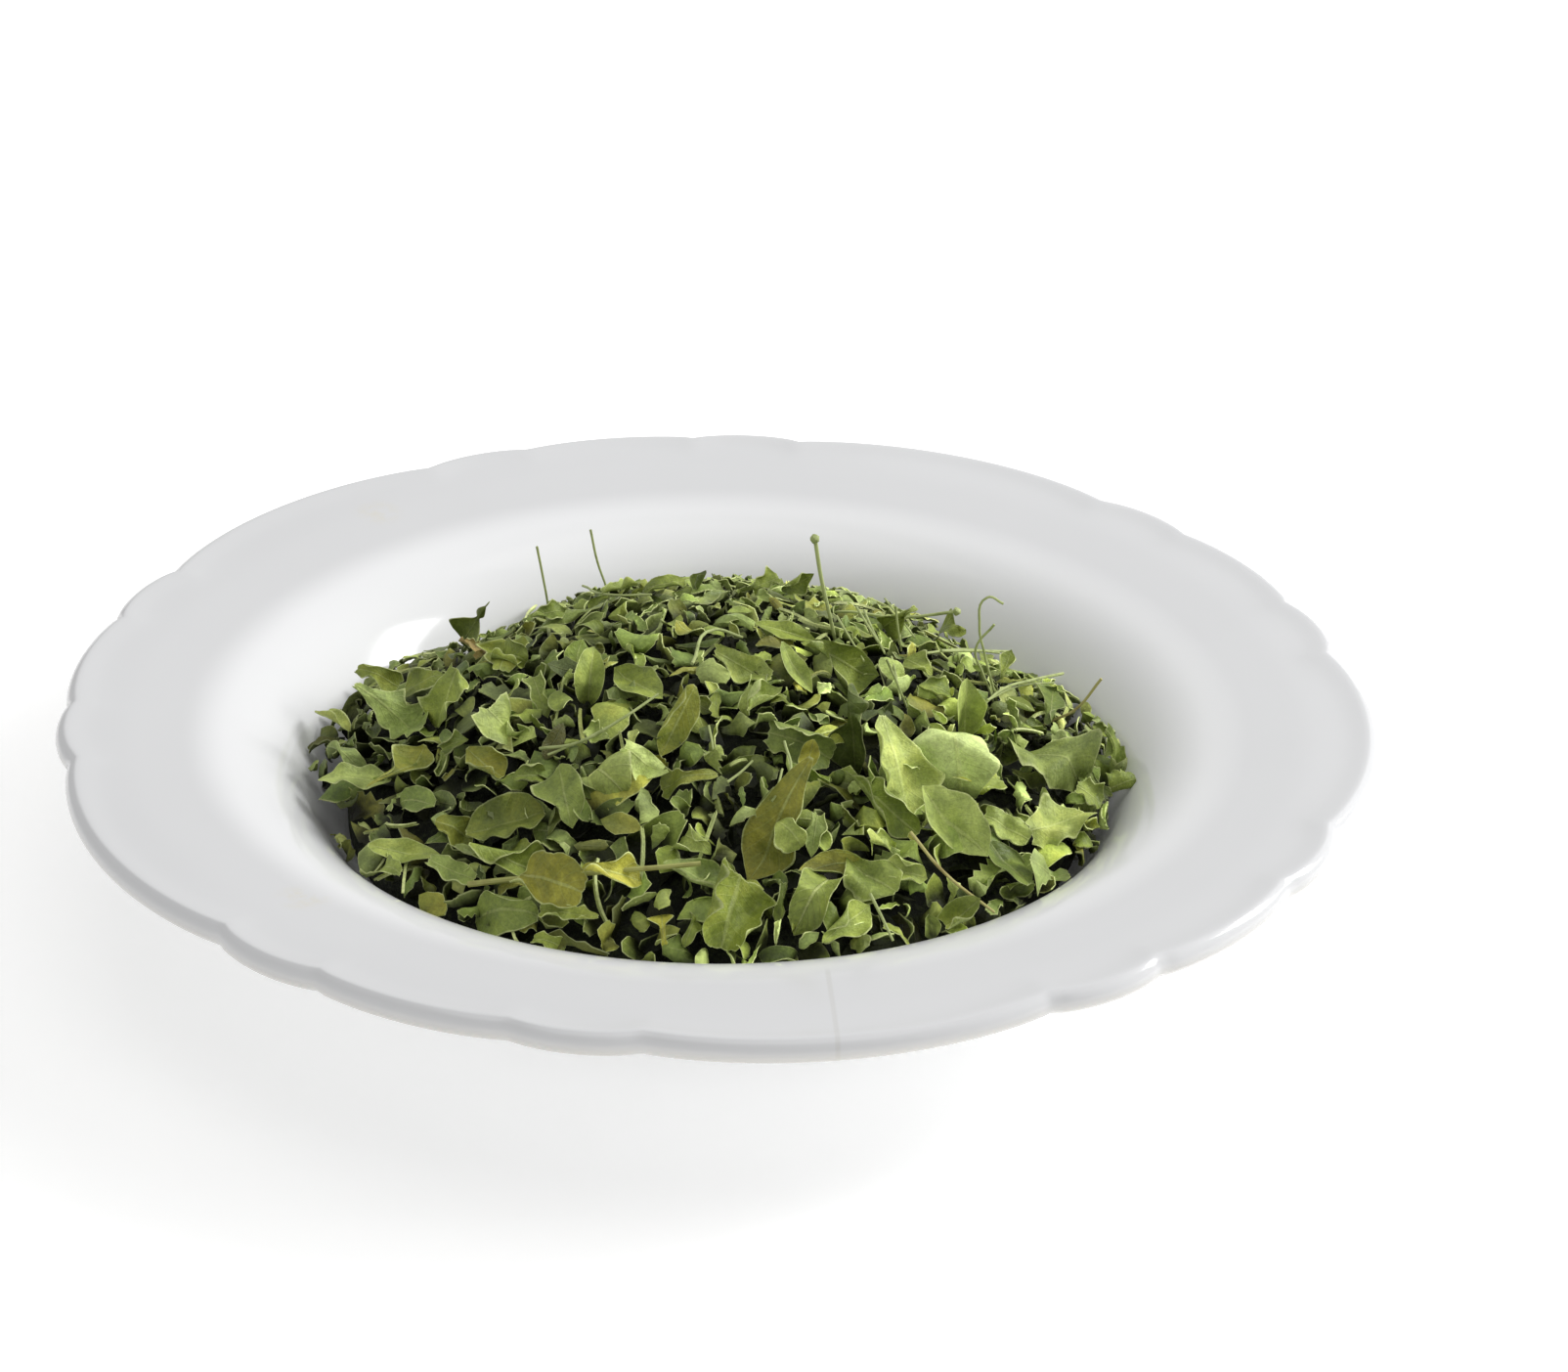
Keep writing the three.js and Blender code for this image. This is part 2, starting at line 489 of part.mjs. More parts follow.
/** The mound under the leaves. */
function moundSolid() {
  const profile = [[0, HEAP_BASE], [HEAP_RADIUS, HEAP_BASE]];
  for (const share of [1, 0.93, 0.84, 0.74, 0.62, 0.48, 0.33, 0.17, 0]) {
    profile.push([share * HEAP_RADIUS, moundHeight(share * HEAP_RADIUS)]);
  }
  return toSolid(turned(profile, 32));
}

/**
 * The small leaf pieces, spread evenly over the mound with a seeded draw of size, heading and tilt. Each is
 * rooted in the mound near one end, and its other end stands up.
 */
function flakeSolids() {
  const random = seededRandom(HEAP_SEED);
  const between = (low, high) => low + (high - low) * random();
  const up = new THREE.Vector3(0, 0, 1);
  const flakes = [];
  for (let i = 0; i < FLAKE_COUNT; i += 1) {
    const radius = (HEAP_RADIUS - 2) * Math.sqrt((i + 0.5) / FLAKE_COUNT);
    const angle = rad(i * GOLDEN_ANGLE);
    const slope = Math.atan(moundHeight(radius - 0.5) - moundHeight(radius + 0.5));
    const outward = [Math.sin(slope) * Math.cos(angle), Math.sin(slope) * Math.sin(angle)];
    const normal = new THREE.Vector3(...outward, Math.cos(slope));
    const onMound = new THREE.Quaternion().setFromUnitVectors(up, normal);
    const turn = new THREE.Euler(rad(between(-32, 32)), rad(between(-42, -8)), rad(between(0, 360)), 'ZYX');
    const pose = new THREE.Matrix4().makeRotationFromQuaternion(
      onMound.multiply(new THREE.Quaternion().setFromEuler(turn)),
    );
    pose.setPosition(radius * Math.cos(angle), radius * Math.sin(angle), moundHeight(radius) + FLAKE_LIFT);
    const length = between(10.5, 17);
    const shape = {
      length,
      width: length * between(0.44, 0.7),
      outline: FLAKE_OUTLINES[Math.floor(random() * FLAKE_OUTLINES.length)],
      arch: between(-0.8, 1.6),
      fold: between(-0.3, 0.45),
      wave: between(0.2, 0.8),
      phase: between(0, 6),
      below: LEAF_THICKNESS / 2,
      above: LEAF_THICKNESS / 2,
    };
    const rooted = leafGeometry(shape).translate(FLAKE_ROOT_SHARE * length, 0, 0);
    flakes.push(toSolid(rooted.applyMatrix4(pose)));
  }
  return flakes;
}

/** The heap: mound and leaf pieces in one body, fitted to the well and with pockets for what lies on it. */
function heapSolid() {
  const whole = wasm.Manifold.union([moundSolid(), ...flakeSolids()]);
  const pockets = [...LARGE_LEAVES, ...TWIG_LEAVES].map(leafPocket);
  const holes = [...STALKS, { points: TWIG_STEM, radius: TWIG_STEM_RADIUS }].map(stalkHole);
  const cut = wasm.Manifold.union([toSolid(wellClearance()), ...pockets, ...holes]);
  return largestBody(whole.subtract(cut));
}

addPiece('plate', plateGeometry(), GLAZE_WHITE);
addPiece('leaf_heap', toGeometry(heapSolid()), LEAF_GREEN);
for (const leaf of LARGE_LEAVES) addPiece(leaf.name, largeLeaf(leaf), leaf.look);
addPiece('leafy_twig', toGeometry(twigSolid()), LEAF_YELLOW);
for (const stalk of STALKS) addPiece(stalk.name, toGeometry(stalkSolid(stalk)), stalk.look);

export default part;
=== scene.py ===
"""A white porcelain soup plate with a scalloped rim, heaped with dried, crumbled leaves.

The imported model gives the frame. Every piece here is modelled in metres in that frame, with its origin at the
origin. Leaf work is done in millimetres and turned into metres where a mesh is made.
"""

from __future__ import annotations

import logging
import math
from dataclasses import dataclass, field, replace
from enum import Enum
from itertools import islice, product

import bpy
import numpy as np
from mathutils import Matrix, Vector

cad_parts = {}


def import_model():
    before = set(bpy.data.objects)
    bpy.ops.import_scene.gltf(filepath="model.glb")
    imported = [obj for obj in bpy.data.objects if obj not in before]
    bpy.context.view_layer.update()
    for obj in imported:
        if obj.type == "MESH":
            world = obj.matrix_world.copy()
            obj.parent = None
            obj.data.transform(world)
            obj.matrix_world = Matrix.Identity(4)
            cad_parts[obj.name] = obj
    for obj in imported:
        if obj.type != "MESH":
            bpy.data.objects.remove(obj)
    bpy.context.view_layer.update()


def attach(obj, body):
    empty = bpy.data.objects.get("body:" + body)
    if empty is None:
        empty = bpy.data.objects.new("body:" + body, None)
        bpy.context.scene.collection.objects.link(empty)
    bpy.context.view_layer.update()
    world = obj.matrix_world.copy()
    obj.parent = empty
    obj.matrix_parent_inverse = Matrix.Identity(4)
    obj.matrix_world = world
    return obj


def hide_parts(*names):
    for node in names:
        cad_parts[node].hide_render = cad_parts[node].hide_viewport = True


log = logging.getLogger("plate_of_leaves")

MM = 0.001
BODY = "root"
UV_NAME = "leaf_uv"
TONE_NAME = "leaf_tone"
GUARD_STEPS = 12

Colour = tuple[float, float, float]
Point = tuple[float, float, float]
Values = tuple[float, ...]
Node = bpy.types.Node
Socket = bpy.types.NodeSocket


# Helpers for scenes and meshes


def deselect_all() -> None:
    """Leaves object mode with nothing selected."""
    if bpy.context.object and bpy.context.object.mode != "OBJECT":
        bpy.ops.object.mode_set(mode="OBJECT")
    bpy.ops.object.select_all(action="DESELECT")


def select_only(piece: bpy.types.Object) -> None:
    """Selects one object and makes it the active one.

    Args:
        piece: The object to work on.
    """
    deselect_all()
    piece.select_set(True)
    bpy.context.view_layer.objects.active = piece


def apply_modifier(piece: bpy.types.Object, kind: str, **settings: object) -> None:
    """Adds a modifier to a piece and applies it.

    Args:
        piece: The piece to change.
        kind: The modifier's type.
        **settings: The modifier's values by name.
    """
    select_only(piece)
    modifier = piece.modifiers.new(kind.lower(), kind)
    for name, value in settings.items():
        setattr(modifier, name, value)
    bpy.ops.object.modifier_apply(modifier=modifier.name)


def read_points(mesh: bpy.types.Mesh) -> np.ndarray:
    """Reads a mesh's vertices.

    Args:
        mesh: The mesh to read.

    Returns:
        One row of x, y and z per vertex.
    """
    points = np.empty(len(mesh.vertices) * 3)
    mesh.vertices.foreach_get("co", points)
    return points.reshape(-1, 3)


def write_points(mesh: bpy.types.Mesh, points: np.ndarray) -> None:
    """Moves a mesh's vertices.

    Args:
        mesh: The mesh to change.
        points: One row of x, y and z per vertex.
    """
    mesh.vertices.foreach_set("co", np.ascontiguousarray(points, dtype=np.float64).ravel())
    mesh.update()


def finish_piece(
    piece: bpy.types.Object,
    material: bpy.types.Material,
    nodes: tuple[str, ...],
    sharp: float = 38.0,
) -> None:
    """Shades a piece, gives it its material and ties it to the frame.

    Args:
        piece: The finished mesh object.
        material: Its material.
        nodes: The CAD nodes that it stands for.
        sharp: Edges steeper than this many degrees stay sharp.
    """
    select_only(piece)
    bpy.ops.object.shade_smooth_by_angle(angle=math.radians(sharp))
    piece.data.materials.clear()
    piece.data.materials.append(material)
    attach(piece, BODY)
    if nodes:
        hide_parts(*nodes)
    log.info("%s: %d faces", piece.name, len(piece.data.polygons))


def smooth_line(points: list[tuple[float, ...]], between: int) -> np.ndarray:
    """Rounds a line through its points with a Catmull-Rom curve.

    Args:
        points: The points that the line goes through.
        between: How many steps each stretch is split into.

    Returns:
        The points of the rounded line.
    """
    known = np.array(points)
    padded = np.vstack([2 * known[0] - known[1], known, 2 * known[-1] - known[-2]])
    steps = np.arange(between)[:, None] / between
    stretches = []
    for a, b, c, d in zip(padded, padded[1:], padded[2:], padded[3:]):
        curve = 2 * b + (c - a) * steps + (2 * a - 5 * b + 4 * c - d) * steps**2
        stretches.append((curve + (3 * b - a - 3 * c + d) * steps**3) / 2)
    return np.vstack([*stretches, known[-1]])


def smoothstep(low: float, high: float, value: np.ndarray) -> np.ndarray:
    """Rises smoothly from 0 at low to 1 at high."""
    share = np.clip((value - low) / (high - low), 0, 1)
    return share * share * (3 - 2 * share)


def spin_section(name: str, outline: np.ndarray, steps: int) -> bpy.types.Object:
    """Spins a closed section round the Z axis.

    Args:
        name: The piece's name.
        outline: The radius and the height of the section's points, in millimetres.
        steps: How many steps the spin has.

    Returns:
        The round piece, in object mode.
    """
    deselect_all()
    bpy.ops.mesh.primitive_circle_add(vertices=len(outline))
    piece = bpy.context.object
    piece.name = name
    write_points(piece.data, np.insert(outline, 1, 0.0, axis=1) * MM)
    bpy.ops.object.mode_set(mode="EDIT")
    bpy.ops.mesh.select_all(action="DESELECT")
    bpy.ops.mesh.select_mode(type="EDGE")
    bpy.ops.object.mode_set(mode="OBJECT")
    for edge in piece.data.edges:
        edge.select = all(abs(piece.data.vertices[at].co.x) < 1e-6 for at in edge.vertices)
    bpy.ops.object.mode_set(mode="EDIT")
    bpy.ops.mesh.delete(type="EDGE_FACE")
    bpy.ops.mesh.select_mode(type="VERT")
    bpy.ops.mesh.select_all(action="SELECT")
    bpy.ops.mesh.spin(steps=steps, angle=2 * math.pi, center=(0, 0, 0), axis=(0, 0, 1))
    bpy.ops.mesh.select_all(action="SELECT")
    bpy.ops.mesh.remove_doubles(threshold=0.01 * MM)
    bpy.ops.mesh.normals_make_consistent(inside=False)
    bpy.ops.object.mode_set(mode="OBJECT")
    return piece


# Materials


@dataclass
class NodeSheet:
    """A material's node tree, with short calls to fill it."""

    name: str
    tree: bpy.types.NodeTree = field(init=False)
    material: bpy.types.Material = field(init=False)
    surface: Node = field(init=False)

    def __post_init__(self) -> None:
        """Makes the material with one Principled surface."""
        self.material = bpy.data.materials.new(self.name)
        self.material.use_nodes = True
        self.tree = self.material.node_tree
        self.surface = next(node for node in self.tree.nodes if node.type == "BSDF_PRINCIPLED")

    def add(self, kind: str, inputs: dict[object, object] | None = None, **settings: object) -> Node:
        """Adds a node.

        Args:
            kind: The node's type, without the words ShaderNode in front.
            inputs: Values or output sockets for its inputs, by name or number.
            **settings: The node's own settings.

        Returns:
            The node.
        """
        node = self.tree.nodes.new("ShaderNode" + kind)
        for name, value in settings.items():
            setattr(node, name, value)
        for key, value in (inputs or {}).items():
            self.feed(node.inputs[key], value)
        return node

    def feed(self, socket: Socket, value: object) -> None:
        """Links an output to a socket, or sets the socket's own value."""
        if isinstance(value, bpy.types.NodeSocket):
            self.tree.links.new(value, socket)
        else:
            socket.default_value = value

    def math(self, operation: str, first: object, second: object = 0.0, third: object = 0.0) -> Socket:
        """Adds a Math node and returns its output."""
        return self.add("Math", {0: first, 1: second, 2: third}, operation=operation).outputs[0]

    def times(self, first: object, second: object) -> Socket:
        """Multiplies two values and returns the output."""
        return self.math("MULTIPLY", first, second)

    def ramp_up(self, value: object, low: float, high: float, start: float = 0.0, end: float = 1.0) -> Socket:
        """Maps a value smoothly from the range low to high to the range start to end."""
        inputs = {"Value": value, "From Min": low, "From Max": high, "To Min": start, "To Max": end}
        return self.add("MapRange", inputs, interpolation_type="SMOOTHSTEP").outputs["Result"]

    def spread(self, noise: object, low: float, high: float) -> Socket:
        """Maps the middle half of a noise pattern to a range and returns the output."""
        return self.ramp_up(noise, 0.25, 0.75, low, high)

    def mix(self, share: object, first: object, second: object, blend: str = "MIX") -> Socket:
        """Mixes two colours. A Mix node has its colours at the inputs 6 and 7, and its result at output 2."""
        first, second = ((*one, 1.0) if isinstance(one, tuple) else one for one in (first, second))
        return self.add("Mix", {0: share, 6: first, 7: second}, data_type="RGBA", blend_type=blend).outputs[2]

    def dim(self, colour: object, level: object) -> Socket:
        """Multiplies a colour by a level and returns the output."""
        grey = self.add("CombineColor", {0: level, 1: level, 2: level}).outputs[0]
        return self.mix(1.0, colour, grey, "MULTIPLY")

    def noise(self, where: object, scale: float, detail: float = 2.0, rough: float = 0.5) -> Socket:
        """Adds a noise pattern and returns its value output."""
        inputs = {"Vector": where, "Scale": scale, "Detail": detail, "Roughness": rough}
        return self.add("TexNoise", inputs).outputs[0]

    def ramp(self, value: object, stops: tuple[tuple[float, Colour], ...]) -> Socket:
        """Adds a colour ramp with these stops and returns its colour output."""
        node = self.add("ValToRGB", {0: value})
        elements = node.color_ramp.elements
        while len(elements) < len(stops):
            elements.new(0.5)
        for element, (place, colour) in zip(elements, stops):
            element.position = place
            element.color = (*colour, 1.0)
        return node.outputs[0]

    def bump(self, height: object, strength: float, distance: float) -> None:
        """Roughens the surface by a height pattern."""
        node = self.add("Bump", {"Height": height, "Strength": strength, "Distance": distance})
        self.set_surface(Normal=node.outputs[0])

    def set_surface(self, **values: object) -> None:
        """Sets the surface's inputs, with words in place of spaces joined by an underscore."""
        for name, value in values.items():
            self.feed(self.surface.inputs[name.replace("_", " ")], value)


@dataclass(frozen=True)
class PorcelainFinish:
    """White glazed porcelain, in metres: two faint stains, a hairline in the rim, painted light that makes the
    well lighter than the rim, and painted shade that makes the under-lip darker and warmer.
    """

    glaze: Colour = (0.66, 0.663, 0.67)
    # Painted light: the glaze in the well is lighter than on the rim, standing in for the light that falls on
    # the well's walls.
    well_painted_light_glaze: Colour = (0.8, 0.803, 0.81)
    well_radius: float = 0.096
    well_blend: float = 0.009
    cloud_scale: float = 22.0
    cloud_shade: float = 0.985
    stain: Colour = (0.66, 0.62, 0.5)
    stains: tuple[Point, ...] = ((-0.068, 0.079, 0.03), (-0.0667, -0.07, 0.0315))
    stain_reach: float = 0.006
    stain_core: float = 0.001
    stain_share: float = 0.55
    hair: Colour = (0.44, 0.42, 0.37)
    hair_start: float = 0.0147
    hair_slant: float = -0.057
    hair_end: float = -0.087
    hair_fade: float = 0.004
    hair_width: float = 0.0006
    hair_core: float = 0.0002
    hair_share: float = 0.2
    # Painted shade with a warmer bounce: the lip's underside is darker and warmer.
    under_lip_shade: Colour = (0.6, 0.57, 0.5)
    under_lip_shade_top: float = 0.0322
    under_lip_shade_full: float = 0.0294
    under_lip_shade_inside: float = 0.1135
    under_lip_shade_outside: float = 0.1165
    under_lip_shade_share: float = 0.55
    smoothest: float = 0.1
    roughest: float = 0.17

    def make(self) -> bpy.types.Material:
        """Builds the material.

        Returns:
            The porcelain material.
        """
        sheet = NodeSheet("glazed_porcelain")
        where = sheet.add("TexCoord").outputs["Object"]
        x, y, z = sheet.add("SeparateXYZ", {0: where}).outputs
        flat = sheet.add("CombineXYZ", {0: x, 1: y}).outputs[0]
        radius = sheet.add("VectorMath", {0: flat}, operation="LENGTH").outputs["Value"]
        cloud = sheet.noise(where, self.cloud_scale, 3.0)
        # Painted light: the glaze turns lighter inside the well's radius.
        inside = sheet.ramp_up(radius, self.well_radius, self.well_radius - self.well_blend)
        colour = sheet.mix(inside, self.glaze, self.well_painted_light_glaze)
        colour = sheet.dim(colour, sheet.ramp_up(cloud, 0.3, 0.7, self.cloud_shade, 1.0))
        blotch = sheet.ramp_up(sheet.noise(where, 260.0, 3.0, 0.7), 0.35, 0.7, 0.0, self.stain_share)
        for place in self.stains:
            away = sheet.add("VectorMath", {0: where, 1: place}, operation="DISTANCE").outputs["Value"]
            near = sheet.ramp_up(away, self.stain_reach, self.stain_core)
            colour = sheet.mix(sheet.times(near, blotch), colour, self.stain)
        colour = sheet.mix(self.hairline(sheet, x, y), colour, self.hair)
        # Painted shade: the outer underside of the lip turns a darker, warmer grey.
        under = sheet.ramp_up(z, self.under_lip_shade_top, self.under_lip_shade_full)
        outer = sheet.ramp_up(radius, self.under_lip_shade_inside, self.under_lip_shade_outside, 0.0, self.under_lip_shade_share)
        colour = sheet.mix(sheet.times(under, outer), colour, self.under_lip_shade)
        rough = sheet.ramp_up(cloud, 0.2, 0.8, self.smoothest, self.roughest)
        sheet.set_surface(Base_Color=colour, Roughness=rough, IOR=1.48)
        sheet.bump(sheet.noise(where, 60.0, 1.0), 0.05, 0.0004)
        return sheet.material

    def hairline(self, sheet: NodeSheet, x: Socket, y: Socket) -> Socket:
        """Draws the hairline, which runs over the near rim to its edge.

        Args:
            sheet: The material's node sheet.
            x: The place from left to right.
            y: The place from near to far.

        Returns:
            The hairline's mask.
        """
        line = sheet.math("MULTIPLY_ADD", y, self.hair_slant, self.hair_start)
        off = sheet.math("ABSOLUTE", sheet.math("SUBTRACT", x, line))
        crack = sheet.ramp_up(off, self.hair_width, self.hair_core, 0.0, self.hair_share)
        return sheet.times(crack, sheet.ramp_up(y, self.hair_end, self.hair_end - self.hair_fade))


@dataclass(frozen=True)
class LeafFinish:
    """Dried leaf. The tone attribute carries lightness, hue and paleness for each leaf piece; for the heap's
    small pieces the lightness also holds painted shade, darker the deeper they lie, and painted light, lighter
    towards the right.
    """

    hues: tuple[tuple[float, Colour], ...] = (
        (0.0, (0.12, 0.178, 0.036)),
        (0.25, (0.2, 0.275, 0.048)),
        (0.45, (0.275, 0.335, 0.054)),
        (0.62, (0.3, 0.29, 0.042)),
        (0.8, (0.45, 0.44, 0.06)),
        (1.0, (0.42, 0.27, 0.1)),
    )
    sage: Colour = (0.48, 0.57, 0.21)
    vein: Colour = (0.5, 0.56, 0.2)
    # The edge colour is partly the leaf's drier edge and partly a painted highlight along its rim.
    rim: Colour = (0.62, 0.68, 0.29)
    rib_share: float = 0.4
    midrib_share: float = 0.9
    dry_edge_and_highlight_share: float = 0.8
    rib_count: float = 8.0
    rib_slant: float = 5.0
    hue_drift: float = 0.07

    def make(self) -> bpy.types.Material:
        """Builds the material.

        Returns:
            The leaf material.
        """
        sheet = NodeSheet("dried_leaf")
        where = sheet.add("TexCoord").outputs["Object"]
        tone = sheet.add("Attribute", attribute_name=TONE_NAME)
        light, hue, pale = sheet.add("SeparateColor", {0: tone.outputs["Color"]}).outputs[:3]
        patch = sheet.noise(where, 230.0, 3.0, 0.6)
        grain = sheet.noise(where, 1900.0, 3.0, 0.65)
        drift = sheet.math("ADD", hue, sheet.spread(patch, -self.hue_drift, self.hue_drift))
        colour = sheet.mix(pale, sheet.ramp(drift, self.hues), self.sage)
        ribs, midrib, edge = self.veins(sheet, tone.outputs["Alpha"])
        for mask, share, over in (
            (ribs, self.rib_share, self.vein),
            (midrib, self.midrib_share, self.vein),
            # The light edge is partly the drier leaf edge and partly a painted highlight.
            (edge, self.dry_edge_and_highlight_share, self.rim),
        ):
            colour = sheet.mix(sheet.times(mask, share), colour, over)
        # For the heap's small pieces this lightness holds painted shade by depth and painted light towards the
        # right.
        level = sheet.times(light, sheet.spread(patch, 0.72, 1.28))
        level = sheet.times(level, sheet.spread(grain, 0.8, 1.12))
        sheet.set_surface(Base_Color=sheet.dim(colour, level))
        sheet.set_surface(Roughness=sheet.spread(patch, 0.42, 0.64), Specular_IOR_Level=0.34)
        height = sheet.math("MULTIPLY_ADD", ribs, 0.5, sheet.times(midrib, 1.2))
        wrinkles = sheet.times(sheet.noise(where, 480.0, 2.0, 0.5), 2.2)
        wrinkles = sheet.math("MULTIPLY_ADD", sheet.noise(where, 190.0, 1.0, 0.4), 6.0, wrinkles)
        sheet.bump(sheet.math("ADD", sheet.math("ADD", height, wrinkles), grain), 0.85, 0.0002)
        return sheet.material

    def veins(self, sheet: NodeSheet, veined: Socket) -> tuple[Socket, Socket, Socket]:
        """Draws the vein pattern on the leaf's own map.

        Args:
            sheet: The material's node sheet.
            veined: How much the leaf's veins show.

        Returns:
            The masks of the side veins, the midrib and the leaf's edge.
        """
        flat = sheet.add("UVMap", uv_map=UV_NAME).outputs[0]
        along, across, _ = sheet.add("SeparateXYZ", {0: flat}).outputs
        off = sheet.math("ABSOLUTE", sheet.math("SUBTRACT", across, 0.5))
        slanted = sheet.math("SUBTRACT", sheet.times(along, self.rib_count), sheet.times(off, self.rib_slant))
        ribs = sheet.ramp_up(sheet.math("PINGPONG", slanted, 0.5), 0.09, 0.0)
        midrib = sheet.ramp_up(off, 0.045, 0.012)
        ends = sheet.math("ABSOLUTE", sheet.math("SUBTRACT", along, 0.5))
        edge = sheet.math("MAXIMUM", sheet.ramp_up(off, 0.46, 0.5), sheet.ramp_up(ends, 0.48, 0.5))
        return sheet.times(ribs, veined), sheet.times(midrib, veined), edge


@dataclass(frozen=True)
class StalkFinish:
    """Dry leaf stalk: one colour with lengthwise grain and darker bruises."""

    name: str
    colour: Colour
    dark: Colour

    def make(self) -> bpy.types.Material:
        """Builds the material.

        Returns:
            The stalk material.
        """
        sheet = NodeSheet(self.name)
        where = sheet.add("TexCoord").outputs["Object"]
        bruise = sheet.ramp_up(sheet.noise(where, 300.0, 3.0, 0.6), 0.45, 0.75)
        grain = sheet.noise(where, 2600.0, 2.0)
        colour = sheet.mix(bruise, self.colour, self.dark)
        sheet.set_surface(Base_Color=colour, Roughness=sheet.ramp_up(grain, 0.3, 0.7, 0.5, 0.7))
        sheet.bump(grain, 0.4, 0.0001)
        return sheet.material


@dataclass(frozen=True)
class MoundFinish:
    """Painted shade for the mound deep in the heap: nearly black with faint lighter crumbs, for the deep shadow
    in the gaps between the leaves.
    """

    colour: Colour = (0.008, 0.01, 0.004)
    crumb: Colour = (0.035, 0.045, 0.014)

    def make(self) -> bpy.types.Material:
        """Builds the material.

        Returns:
            The mound material.
        """
        sheet = NodeSheet("leaf_crumbs")
        crumbs = sheet.noise(sheet.add("TexCoord").outputs["Object"], 700.0, 4.0, 0.7)
        # Nearly black painted shade, with faint lighter crumbs.
        colour = sheet.mix(sheet.ramp_up(crumbs, 0.45, 0.7), self.colour, self.crumb)
        sheet.set_surface(Base_Color=colour, Roughness=0.9)
        sheet.bump(crumbs, 0.8, 0.0008)
        return sheet.material


# The plate


@dataclass(frozen=True)
class Lobe:
    """One bulge of the scalloped edge: its ends in degrees, and how far its peak and ends stand out."""

    start: float
    end: float
    peak: float
    notch: float
    power: float = 0.8

    def reach(self, angle: np.ndarray) -> tuple[np.ndarray, np.ndarray]:
        """How far the edge stands out at these angles, and which of them the lobe holds."""
        across = (angle - (self.start + self.end) / 2) / ((self.end - self.start) / 2)
        bulge = self.notch + (self.peak - self.notch) * np.clip(1 - across**2, 0, 1) ** self.power
        return bulge, np.abs(across) <= 1


